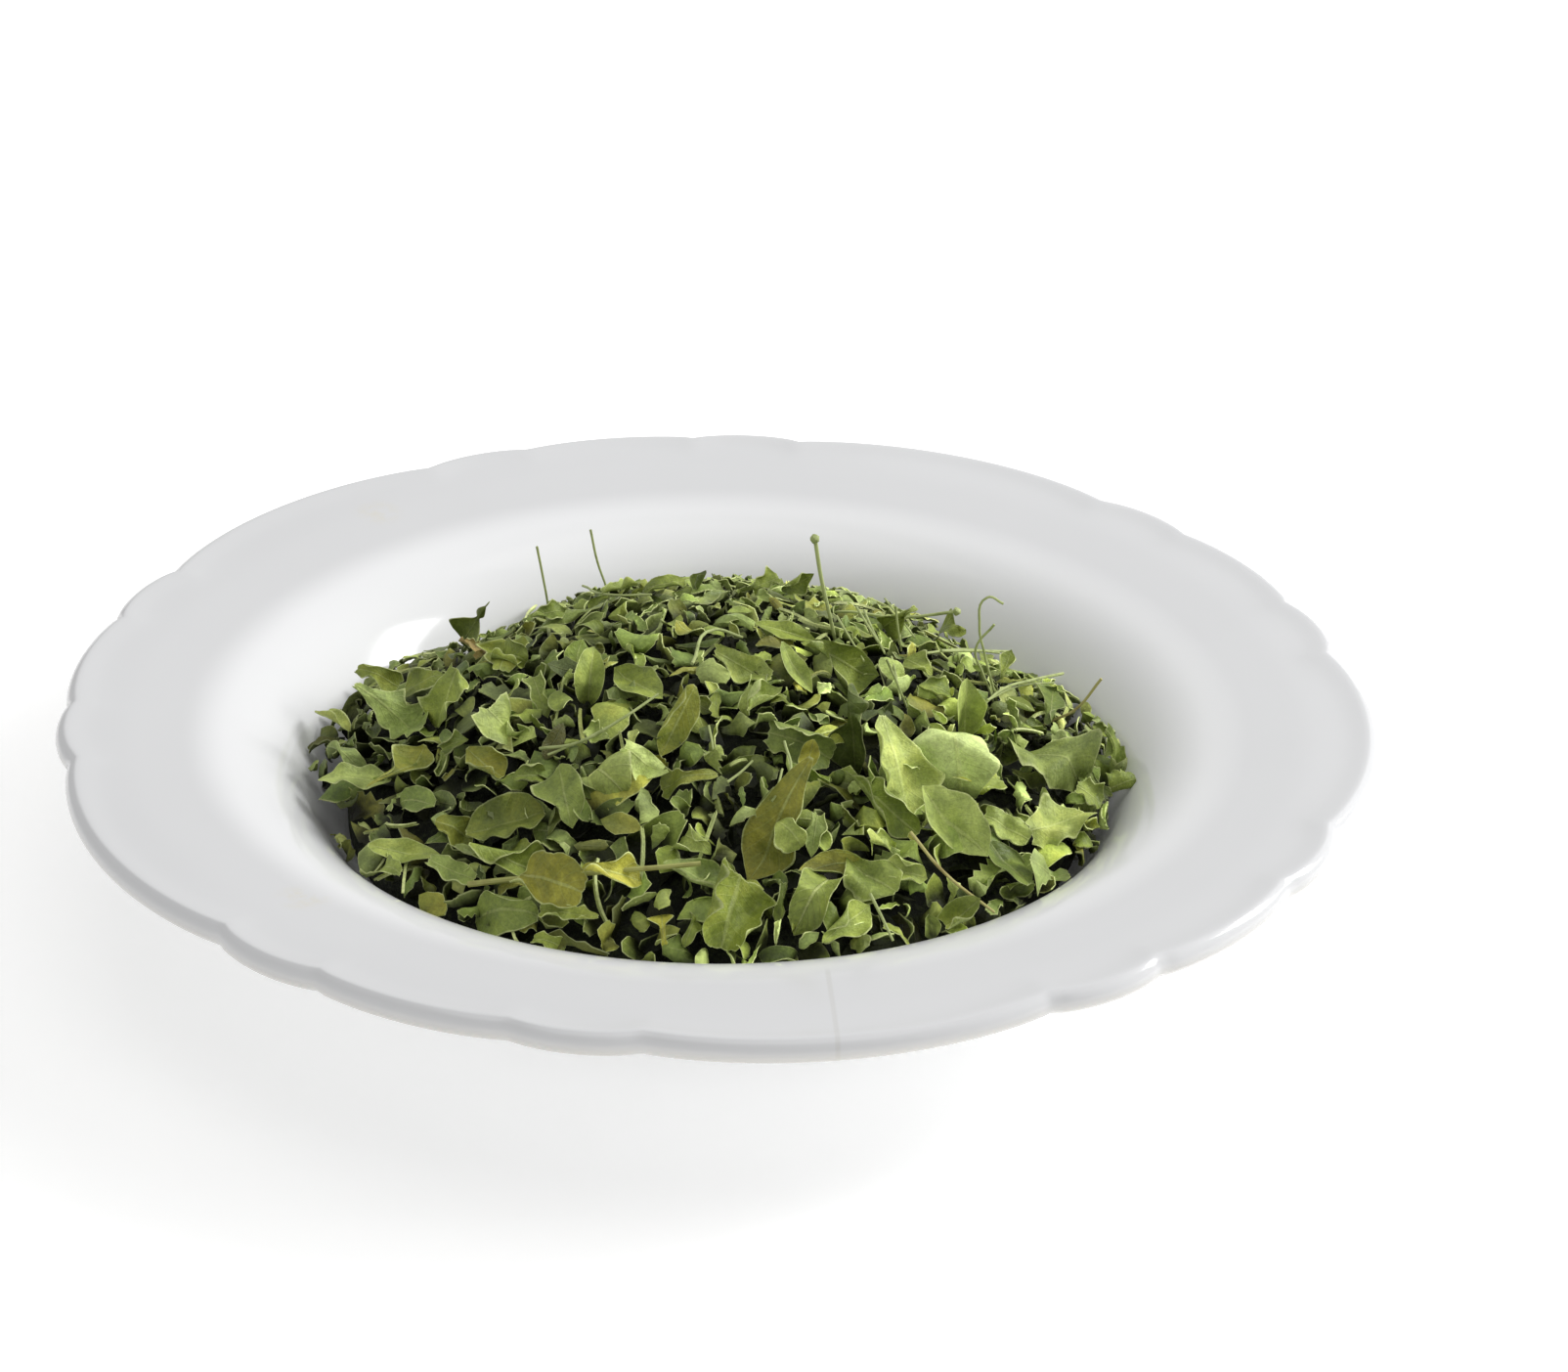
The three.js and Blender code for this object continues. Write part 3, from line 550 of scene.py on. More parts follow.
@dataclass
class ScallopedPlate:
    """The soup plate, in millimetres and degrees: lip, scalloped rim, well, floor and foot ring.

    The well's curve starts at the shoulder radius with the rim's slope. It steepens along its upper length to
    the wall's slope, and flattens out along its lower length.
    """

    rim_radius: float = 114.9
    lip_radius: float = 2.2
    lip_height: float = 31.0
    lip_turns: tuple[float, ...] = (-95, -60, -25, 10, 40, 65, 85)
    rim_dips: tuple[tuple[float, float], ...] = (
        (2.2, 0.12), (4.0, 0.16), (6.5, 0.1), (10.0, 0.0), (14.0, 0.0), (17.0, 0.0)
    )
    wall: float = 4.2
    shoulder_radius: float = 94.5
    rim_slope: float = 8.0
    wall_slope: float = 57.0
    wall_power: float = 1.3
    upper_length: float = 25.0
    lower_length: float = 19.0
    well_steps: int = 24
    scallop_depth: float = 9.0
    scallop_edge: float = 2.0
    foot_radius: float = 44.0
    foot_width: float = 3.2
    unit: float = 72.0
    turn: float = -6.0
    spin_steps: int = 400
    lobes: tuple[Lobe, ...] = (
        Lobe(-17.0, 17.0, 1.1, -1.9),
        Lobe(17.0, 27.7, 0.2, -1.5),
        Lobe(27.7, 44.3, 0.1, -1.1),
        Lobe(44.3, 55.0, 0.2, -1.5),
    )

    def rim_at(self, inwards: float) -> float:
        """The height of the rim's upper face, so far in from the edge. It meets the round lip smoothly."""
        return self.lip_height + self.lip_radius - inwards * math.tan(math.radians(self.rim_slope))

    def well(self, depth: float) -> list[tuple[float, float]]:
        """The well's curve from the shoulder down to the floor, summed up from fine steps.

        Args:
            depth: How far under the plate's upper face the curve lies.

        Returns:
            The points from the shoulder inwards.
        """
        finer = 20
        run = np.linspace(0, self.upper_length + self.lower_length, finer * self.well_steps + 1)
        upper = np.clip(run / self.upper_length, 0, 1)
        lower = np.clip((run - self.upper_length) / self.lower_length, 0, 1)
        slope = self.rim_slope + (self.wall_slope - self.rim_slope) * upper**self.wall_power
        turn = np.radians(slope * (1 - lower**2))
        middle = (turn[1:] + turn[:-1]) / 2
        shoulder = self.rim_at(self.rim_radius - self.shoulder_radius)
        radius = self.shoulder_radius - np.append(0, np.cumsum(np.cos(middle))) * run[1]
        height = shoulder - np.append(0, np.cumsum(np.sin(middle))) * run[1]
        points = np.stack([radius + depth * np.sin(turn), height - depth * np.cos(turn)], axis=1)
        return [tuple(point) for point in points[::finer].tolist()]

    def underside(self) -> list[tuple[float, float]]:
        """The section's points from the middle of the underside to below the lip."""
        well = self.well(self.wall)[::-1]
        under = well[0][1]
        inside = self.foot_radius - self.foot_width / 2
        outside = self.foot_radius + self.foot_width / 2
        return [
            (0.0, under),
            (inside - 4, under),
            (inside - 0.9, under - 0.5),
            (inside, 0.3),
            (inside + 0.5, 0.0),
            (outside - 0.5, 0.0),
            (outside, 0.3),
            (outside + 0.9, under - 0.5),
            (outside + 5, under),
            *well,
            *((self.rim_radius - far, self.rim_at(far) - self.wall) for far in (14, 8)),
            (self.rim_radius - 3, self.lip_height - self.lip_radius - 0.3),
        ]

    def lip(self) -> list[tuple[float, float]]:
        """The section's points round the lip, from below to its inner edge."""
        turns = np.radians(self.lip_turns)
        radius = self.rim_radius + self.lip_radius * np.cos(turns)
        return list(zip(radius, self.lip_height + self.lip_radius * np.sin(turns)))

    def topside(self) -> list[tuple[float, float]]:
        """The section's points from the inner edge of the lip to the middle of the floor."""
        rim = [(self.rim_radius - far, self.rim_at(far) - dip) for far, dip in self.rim_dips]
        well = self.well(0.0)
        return [*rim, *well, (self.foot_radius, well[-1][1]), (0.0, well[-1][1])]

    def scallop(self, angle: np.ndarray) -> np.ndarray:
        """How far the edge stands out of the mean rim circle.

        Args:
            angle: Degrees from +X.

        Returns:
            Millimetres, for each angle.
        """
        first = self.lobes[0].start
        turned = np.mod(angle - self.turn - first, self.unit) + first
        reach = np.zeros_like(turned)
        for lobe in self.lobes:
            bulge, inside = lobe.reach(turned)
            reach = np.where(inside, bulge, reach)
        return reach

    def top_at(self, radius: np.ndarray) -> np.ndarray:
        """The height of the plate's upper face inside the rim, at these distances from the middle."""
        points = self.topside()[::-1]
        return np.interp(radius, [one[0] for one in points], [one[1] for one in points])

    def build(self, material: bpy.types.Material) -> None:
        """Spins the section round and raises the scallops.

        Args:
            material: The porcelain.
        """
        outline = np.clip(smooth_line([*self.underside(), *self.lip(), *self.topside()], 3), 0, None)
        piece = spin_section("scalloped_plate", outline, self.spin_steps)
        points = read_points(piece.data) / MM
        radius = np.hypot(points[:, 0], points[:, 1])
        angle = np.degrees(np.arctan2(points[:, 1], points[:, 0]))
        share = smoothstep(self.rim_radius - self.scallop_depth, self.rim_radius - self.scallop_edge, radius)
        grown = 1 + share * self.scallop(angle) / np.maximum(radius, 1)
        points[:, :2] *= grown[:, None]
        write_points(piece.data, points * MM)
        finish_piece(piece, material, ("plate",), sharp=60)


# Leaf pieces


class Cut(Enum):
    """How a leaf piece broke: its outline as shares of the half width, from base to tip."""

    OVAL = (0.0, 0.5, 0.8, 0.96, 1.0, 0.95, 0.78, 0.5, 0.0)
    BLUNT = (0.12, 0.55, 0.82, 0.96, 1.0, 1.0, 0.92, 0.7, 0.2)
    BLADE = (0.1, 0.62, 0.85, 0.95, 1.0, 0.9, 0.72, 0.42, 0.0)
    SQUARE = (0.72, 0.88, 1.0, 0.98, 0.93, 0.82, 0.66, 0.4, 0.0)
    TORN = (0.55, 0.82, 1.0, 0.9, 0.86, 1.0, 0.94, 0.7, 0.45)
    CHIP = (0.35, 1.0, 0.8, 0.95, 0.62, 0.85, 0.5, 0.75, 0.3)
    STRIP = (0.5, 0.9, 0.7, 1.0, 0.8, 0.6, 0.85, 0.5, 0.15)
    STALK = (0.8, 0.9, 1.0, 0.95, 0.9, 0.9, 0.85, 0.85, 0.8)


class Slot(str, Enum):
    """The record's material slots of the leaves and stalks."""

    MIX = "leaf_mix"
    GREEN = "leaf_green"
    PALE = "leaf_pale"
    OLIVE = "leaf_olive"
    YELLOW = "leaf_yellow"
    STALK_PALE = "stalk_pale"
    STALK_BROWN = "stalk_brown"


OVAL, BLUNT, BLADE, SQUARE, TORN, CHIP, STRIP, STALK = Cut
MIX, GREEN, PALE, OLIVE, YELLOW, STALK_PALE, STALK_BROWN = Slot


@dataclass(frozen=True)
class Pose:
    """Where a leaf lies: its middle in millimetres, and its turns in degrees."""

    at: Point
    heading: float
    lean: float = 0.0
    side: float = 0.0

    def put(self, points: np.ndarray) -> np.ndarray:
        """Turns points by the heading, then the tip to the side, then the lean, and moves them."""
        turn = Matrix.Rotation(math.radians(self.lean), 3, "X")
        turn = turn @ Matrix.Rotation(math.radians(self.side), 3, "Y")
        turn = np.array(turn @ Matrix.Rotation(math.radians(self.heading), 3, "Z"))
        return points @ turn.T + np.array(self.at)


@dataclass(frozen=True)
class Curl:
    """How a dried leaf is bent out of flat: total turns in degrees, and heights in millimetres."""

    along: float = 0.0
    across: float = 0.0
    ripple: float = 0.0
    fold: float = 0.0
    twist: float = 0.0
    waves: float = 2.0
    phase: float = 0.0
    creases: tuple[tuple[float, float, float], ...] = ()
    rolled: float = 1.7
    bowed: float = 1.2
    lop: float = 0.0
    soft: float = 0.25
    lag: float = 1.3

    def rise(self, x: np.ndarray, y: np.ndarray, length: float, width: float) -> np.ndarray:
        """The height of the leaf's own folds, creases and wavy edge.

        Args:
            x: Places along the leaf, from its middle.
            y: Places across the leaf, from its midrib.
            length: The leaf's length.
            width: The leaf's width.

        Returns:
            Heights off the flat leaf.
        """
        out = np.abs(y) / (width / 2)
        wave = np.sin(2 * math.pi * self.waves * x / length + self.phase + self.lag * np.sign(y))
        height = self.fold * np.hypot(y, self.soft) + self.ripple * out**2 * wave
        for turn, offset, slope in self.creases:
            angle = math.radians(turn)
            away = x * math.cos(angle) + y * math.sin(angle) - offset * length
            height = height + slope * np.hypot(away, self.soft)
        return height - height.mean()

    @staticmethod
    def arc(
        place: np.ndarray, size: float, turn: float, power: float, lop: float = 0.0
    ) -> tuple[np.ndarray, np.ndarray, np.ndarray]:
        """Bends a line into a curve that turns more towards its ends.

        Args:
            place: Places along the line, from its middle.
            size: The line's length.
            turn: How far it turns from end to end, in degrees.
            power: How strongly the turn lies at the ends. At 1 the curve is a round arc.
            lop: How unevenly: at 1 only the far end turns, and at -1 only the near one.

        Returns:
            The places along and off the old line, and the turn at each of them in radians.
        """
        half = 30
        share = np.linspace(-1, 1, 2 * half + 1)
        angle = math.radians(turn) / 2 * np.sign(share) * np.abs(share) ** power * (1 + lop * np.sign(share))
        middle = (angle[1:] + angle[:-1]) / 2
        along = np.append(0, np.cumsum(np.cos(middle))) * size / (2 * half)
        off = np.append(0, np.cumsum(np.sin(middle))) * size / (2 * half)
        at = np.clip(place * 2 / size, -1, 1)
        beyond = place - at * size / 2
        here = np.interp(at, share, angle)
        along_here = np.interp(at, share, along - along[half]) + beyond * np.cos(here)
        return along_here, np.interp(at, share, off - off[half]) + beyond * np.sin(here), here

    def bend(self, flat: np.ndarray, length: float, width: float) -> np.ndarray:
        """Bends a flat leaf.

        Args:
            flat: Points with x along the leaf, y across it and z off its face, in millimetres.
            length: The leaf's length.
            width: The leaf's width.

        Returns:
            The bent points, with the leaf's middle near the origin.
        """
        x, y, off = flat.T
        off = off + self.rise(x, y, length, width)
        across, up, turn = self.arc(y, width, self.across, self.rolled, self.lop)
        across, up = across - off * np.sin(turn), up + off * np.cos(turn)
        spin = math.radians(self.twist) * x / length
        turned_y = across * np.cos(spin) - up * np.sin(spin)
        turned_z = across * np.sin(spin) + up * np.cos(spin)
        run, drop, turn = self.arc(x, length, -self.along, self.bowed)
        run, drop = run - turned_z * np.sin(turn), drop + turned_z * np.cos(turn)
        return np.stack([run, turned_y, drop], axis=1)


@dataclass(frozen=True)
class Tone:
    """A leaf piece's colour: lightness, place on the hue ramp, paleness, and how much its veins show."""

    light: float
    hue: float
    pale: float = 0.0
    veined: float = 0.5


@dataclass
class LeafPattern:
    """One flat leaf shape with a thickness, modelled once and copied. All its sizes are shares."""

    cut: Cut
    rows: int
    columns: int
    seed: int
    ragged: float
    points: np.ndarray = field(init=False)
    corners: np.ndarray = field(init=False)
    totals: np.ndarray = field(init=False)
    uvs: np.ndarray = field(init=False)

    def __post_init__(self) -> None:
        """Models the shape from a grid, cuts its outline, welds its tips and gives it a thickness."""
        deselect_all()
        bpy.ops.mesh.primitive_grid_add(x_subdivisions=self.rows, y_subdivisions=self.columns, size=1)
        piece = bpy.context.object
        piece.data.uv_layers[0].name = UV_NAME
        write_points(piece.data, self.cut_outline(read_points(piece.data)))
        bpy.ops.object.mode_set(mode="EDIT")
        bpy.ops.mesh.select_all(action="SELECT")
        bpy.ops.mesh.remove_doubles(threshold=1e-4)
        bpy.ops.object.mode_set(mode="OBJECT")
        apply_modifier(piece, "SOLIDIFY", thickness=1.0, offset=0.0)
        self.read(piece.data)
        bpy.data.objects.remove(piece)

    def cut_outline(self, points: np.ndarray) -> np.ndarray:
        """Narrows the grid to the outline, with uneven edges and torn ends."""
        draw = np.random.default_rng(self.seed)
        along = points[:, 0] + 0.5
        across = points[:, 1] * 2
        half = np.interp(along, np.linspace(0, 1, len(self.cut.value)), self.cut.value)
        sides = [self.uneven(draw, along) for _ in range(2)]
        half = half * (1 + self.ragged * np.where(across < 0, sides[0], sides[1]))
        first, last = (self.uneven(draw, points[:, 1] + 0.5) for _ in range(2))
        torn = np.where(along < 0.5, first * self.cut.value[0], last * self.cut.value[-1])
        reach = self.ragged * torn * (points[:, 0] * 2) ** 2
        return np.stack([points[:, 0] + reach, across * half / 2, points[:, 2]], axis=1)

    @staticmethod
    def uneven(draw: np.random.Generator, share: np.ndarray) -> np.ndarray:
        """A broken line of random height along a share, in large steps and in lower small ones."""
        lines = [(height, draw.uniform(-1, 1, count)) for height, count in ((1.0, 7), (0.2, 23))]
        return sum(height * np.interp(share, np.linspace(0, 1, len(line)), line) for height, line in lines)

    def read(self, mesh: bpy.types.Mesh) -> None:
        """Keeps the shape's points, corners and leaf map."""
        self.points = read_points(mesh)
        self.corners = np.empty(len(mesh.loops), dtype=np.int32)
        mesh.loops.foreach_get("vertex_index", self.corners)
        self.totals = np.empty(len(mesh.polygons), dtype=np.int32)
        mesh.polygons.foreach_get("loop_total", self.totals)
        uvs = np.empty(len(mesh.loops) * 2)
        mesh.uv_layers[0].data.foreach_get("uv", uvs)
        self.uvs = uvs.reshape(-1, 2)


@dataclass
class LeafBatch:
    """Leaf pieces gathered into one mesh: the points, corners, face sizes, maps and tones of each."""

    parts: list[tuple[np.ndarray, ...]] = field(default_factory=list)
    count: int = 0
    triangles: int = 0
    paler_below: float = 0.45

    def add(self, pattern: LeafPattern, points: np.ndarray, tone: Tone, painted_shade: object = 1.0) -> None:
        """Adds one leaf piece, with a paler underside.

        Args:
            pattern: The shape that it is a copy of.
            points: Its bent and placed points in millimetres.
            tone: Its colour.
            painted_shade: What its lightness is multiplied by, in all or at each point.
        """
        below = pattern.points[:, 2] < 0
        tones = np.empty((len(points), 4))
        # Painted shade: the heap's pieces are darker where they lie deep under the heap's top.
        tones[:, 0] = tone.light * painted_shade
        tones[:, 1] = tone.hue
        tones[:, 2] = np.where(below, min(1.0, tone.pale + self.paler_below), tone.pale)
        tones[:, 3] = tone.veined
        self.parts.append((points * MM, pattern.corners + self.count, pattern.totals, pattern.uvs, tones))
        self.count += len(points)
        self.triangles += int((pattern.totals - 2).sum())

    def add_large(self, one: LargeLeaf, patterns: dict[Cut, LeafPattern], guard: ViewGuard) -> None:
        """Adds a large leaf piece and keeps its view clear.

        Args:
            one: The leaf piece.
            patterns: The finely modelled leaf shapes.
            guard: What keeps the view of the large pieces clear.
        """
        shape = one.shape(patterns[one.cut])
        guard.keep(shape)
        self.add(patterns[one.cut], shape, one.tone)

    def build(self, name: str) -> bpy.types.Object:
        """Makes the mesh object.

        Args:
            name: The piece's name.

        Returns:
            The object, at the origin.
        """
        points, corners, totals, uvs, tones = (np.concatenate(part) for part in zip(*self.parts))
        mesh = bpy.data.meshes.new(name)
        mesh.vertices.add(len(points))
        mesh.vertices.foreach_set("co", points.ravel())
        mesh.loops.add(len(corners))
        mesh.loops.foreach_set("vertex_index", corners)
        mesh.polygons.add(len(totals))
        mesh.polygons.foreach_set("loop_start", np.concatenate([[0], np.cumsum(totals)[:-1]]))
        mesh.update(calc_edges=True)
        mesh.uv_layers.new(name=UV_NAME).data.foreach_set("uv", uvs.ravel())
        mesh.attributes.new(TONE_NAME, "FLOAT_COLOR", "POINT").data.foreach_set("color", tones.ravel())
        mesh.validate()
        piece = bpy.data.objects.new(name, mesh)
        bpy.context.scene.collection.objects.link(piece)
        return piece


@dataclass(frozen=True)
class LargeLeaf:
    """A large leaf piece on top of the heap, which stands for a node of its own."""

    name: str
    slot: str
    cut: Cut
    pose: Pose
    length: float
    width: float
    curl: Curl
    tone: Tone
    thickness: float = 0.22
    crumple: float = 0.42
    small_creases: int = 6
    edge_turn: float = 2.7
    rolled_from: float = 90.0

    def shape(self, pattern: LeafPattern) -> np.ndarray:
        """The leaf's points in their place, in millimetres, with small creases of its own."""
        draw = np.random.default_rng([ord(letter) for letter in self.name])
        small = tuple(
            (draw.uniform(0, 180), draw.uniform(-0.4, 0.4), draw.normal(0, self.crumple))
            for _ in range(self.small_creases)
        )
        dry = self.edge_turn if abs(self.curl.across) < self.rolled_from else 1.0
        curl = replace(
            self.curl,
            across=dry * self.curl.across,
            rolled=draw.uniform(1.8, 3.2),
            lop=draw.uniform(-0.8, 0.8),
            fold=self.curl.fold + draw.uniform(0.05, 0.4),
            ripple=1.1 * self.curl.ripple,
            creases=self.curl.creases + small,
        )
        flat = pattern.points * np.array([self.length, self.width, self.thickness])
        return self.pose.put(curl.bend(flat, self.length, self.width))


Patterns = dict[Cut, list[LeafPattern]]
Placed = tuple[LeafPattern, np.ndarray, Tone]


def leaf(
    name: str,
    slot: Slot,
    cut: Cut,
    at: Point,
    turns: Values,
    size: Values,
    curl: Values,
    tone: Values,
    **bends: object,
) -> LargeLeaf:
    """Makes a large leaf piece from one row of values.

    Args:
        name: Its name.
        slot: Its material slot.
        cut: How it broke.
        at: Its middle in millimetres.
        turns: Its heading, lean and side in degrees.
        size: Its length and width in millimetres.
        curl: Its turns along and across in degrees, and its ripple.
        tone: Its lightness, hue, paleness and veins.
        **bends: The rest of its curl.

    Returns:
        The leaf piece.
    """
    return LargeLeaf(name, slot, cut, Pose(at, *turns), *size, Curl(*curl, **bends), Tone(*tone))


LARGE_LEAVES = (
    leaf("leaf_crumpled", PALE, BLUNT, (32.0, -32.2, 36.1), (-70, 40, 5), (16.7, 10.4),
         (35, 30, 1.3), (1.5, 0.5, 0.35), waves=2.5, phase=1.0,
         creases=((84, -0.02, -0.55), (30, 0.2, 0.35))),
    leaf("leaf_blue_green", PALE, TORN, (42.4, -26.3, 34.7), (-81, 42), (13, 12.4),
         (20, -24, 0.4), (1.5, 0.2, 0.85), creases=((8, -0.3, -0.6), (70, 0.12, 0.25))),
    leaf("leaf_dark_upright", GREEN, BLADE, (24.1, -26.5, 39.7), (-89, 62, -8), (17.5, 4.8),
         (12, 60, 0.3), (0.45, 0.25)),
    leaf("leaf_wrinkled", GREEN, TORN, (59.2, -14.1, 29.2), (-26, 38, 18), (16.1, 9.6),
         (25, -30, 1.0), (0.8, 0.35, 0.25), twist=20, waves=3, phase=0.4,
         creases=((35, -0.15, 0.6), (-30, 0.1, -0.6), (70, 0.15, 0.5))),
    leaf("leaf_folded", PALE, OVAL, (44.6, -10.2, 36.3), (-81, 45, 10), (9.6, 6.2),
         (10, 0, 0.3), (1.25, 0.42, 0.3), fold=0.8),
    leaf("leaf_long_folded", PALE, OVAL, (41.6, -42.2, 31.7), (-46, 36, 12), (16.5, 8.4),
         (25, 0, 0.7), (1.2, 0.4, 0.35), fold=0.6, twist=30, phase=2.2),
    leaf("leaf_cut", GREEN, SQUARE, (17.2, -61.7, 27.0), (-120, 40), (12.4, 8.2),
         (14, 18, 0.4), (1.05, 0.42, 0.12, 1.0), creases=((90, 0.0, 0.25),)),
    leaf("leaf_rolled", GREEN, BLUNT, (27.1, -54.8, 28.4), (-42, 35, 8), (10.4, 7.0),
         (30, -60, 0.5), (0.95, 0.36, 0.1), creases=((70, 0.0, 0.5),)),
    leaf("leaf_right", PALE, TORN, (60.0, -31.2, 25.6), (30, 35, 20), (12.6, 7.6),
         (30, 30, 0.8), (1.2, 0.48, 0.3), waves=2.5, phase=4.0, creases=((60, 0.05, -0.4),)),
    leaf("leaf_olive_diagonal", OLIVE, BLADE, (10.7, -48.5, 33.7), (-122, 34, -5), (20.5, 9.0),
         (18, 24, 0.9), (0.95, 0.6), twist=14, waves=2.5, phase=0.8, creases=((75, 0.05, 0.3),)),
    leaf("leaf_dark_right", GREEN, BLUNT, (50.9, -44.6, 25.2), (-54, 40, 10), (10.4, 7.6),
         (20, 0, 0.6), (0.7, 0.28), fold=0.4),
    leaf("leaf_crumpled_left", PALE, SQUARE, (-35.1, -22.9, 38.0), (-30, 30), (8.7, 7.2),
         (40, -60, 0.4), (1.15, 0.42, 0.35), phase=3.0, creases=((20, 0.0, 0.4),)),
    leaf("leaf_wavy_left", GREEN, TORN, (-48.2, -6.7, 34.7), (-127, 35, -10), (8.8, 8.0),
         (20, 20, 1.2), (1.1, 0.42, 0.08), waves=2.2, phase=5.0, creases=((50, 0.0, 0.4),)),
    leaf("leaf_olive_left", OLIVE, TORN, (-37.6, 3.5, 39.3), (-99, 38, -5), (8.6, 7.4),
         (24, 26, 0.8), (0.9, 0.48), phase=2.5, creases=((60, 0.0, -0.4),)),
    leaf("leaf_tall_folded", GREEN, OVAL, (-22.0, -12.4, 42.9), (85, 62), (12.2, 5.2),
         (50, 0, 0.3), (1.05, 0.42, 0.2), fold=0.9),
    leaf("leaf_broad_middle", GREEN, OVAL, (-13.6, -15.6, 43.7), (-40, 40), (11.4, 7.4),
         (16, 0, 0.5), (0.9, 0.42, 0.05), fold=0.35),
    leaf("leaf_olive_blade", OLIVE, BLADE, (-6.3, -27.0, 42.2), (-115, 42), (14, 6.4),
         (12, 30, 0.5), (0.95, 0.52), twist=10, creases=((85, 0.0, 0.3),)),
    leaf("leaf_light_strip", PALE, SQUARE, (-11.6, -37.2, 39.6), (-21, 42), (8.8, 4.4),
         (-20, 20, 0.5), (1.55, 0.45, 0.7), creases=((10, 0.05, 0.5),)),
    leaf("leaf_ribbed_curl", PALE, SQUARE, (-17.7, -40.0, 37.8), (-39, 38, -5), (9.8, 6.2),
         (100, -30, 0.2), (1.15, 0.45, 0.35, 1.0)),
    leaf("leaf_long_curved", GREEN, BLADE, (-25.1, -41.5, 35.3), (-76, 40, -5), (12.4, 7.6),
         (40, 50, 0.5), (0.85, 0.34, 0.15), twist=-15),
    leaf("leaf_dark_olive", OLIVE, BLUNT, (-35.2, -43.6, 31.2), (15, 30, -8), (14, 10.0),
         (20, 16, 0.8), (0.6, 0.45), waves=3, creases=((80, 0.1, 0.2),)),
    leaf("leaf_pale_left", PALE, BLADE, (-63.4, -19.2, 25.8), (177, 22, -15), (13, 6.4),
         (14, 0, 0.8), (1.15, 0.42, 0.4, 0.6), fold=0.3, waves=2.5),
    leaf("leaf_round", GREEN, BLUNT, (-34.7, -60.7, 23.2), (-10, 38, -5), (12.6, 8.6),
         (18, 24, 0.1), (0.9, 0.34, 0.1)),
    leaf("leaf_broad_near", GREEN, TORN, (3.7, -64.6, 26.4), (-103, 42), (13.5, 12.0),
         (20, 30, 1.2), (0.95, 0.44), waves=2.5, phase=1.5, creases=((60, 0.1, 0.35), (110, -0.1, -0.35))),
)

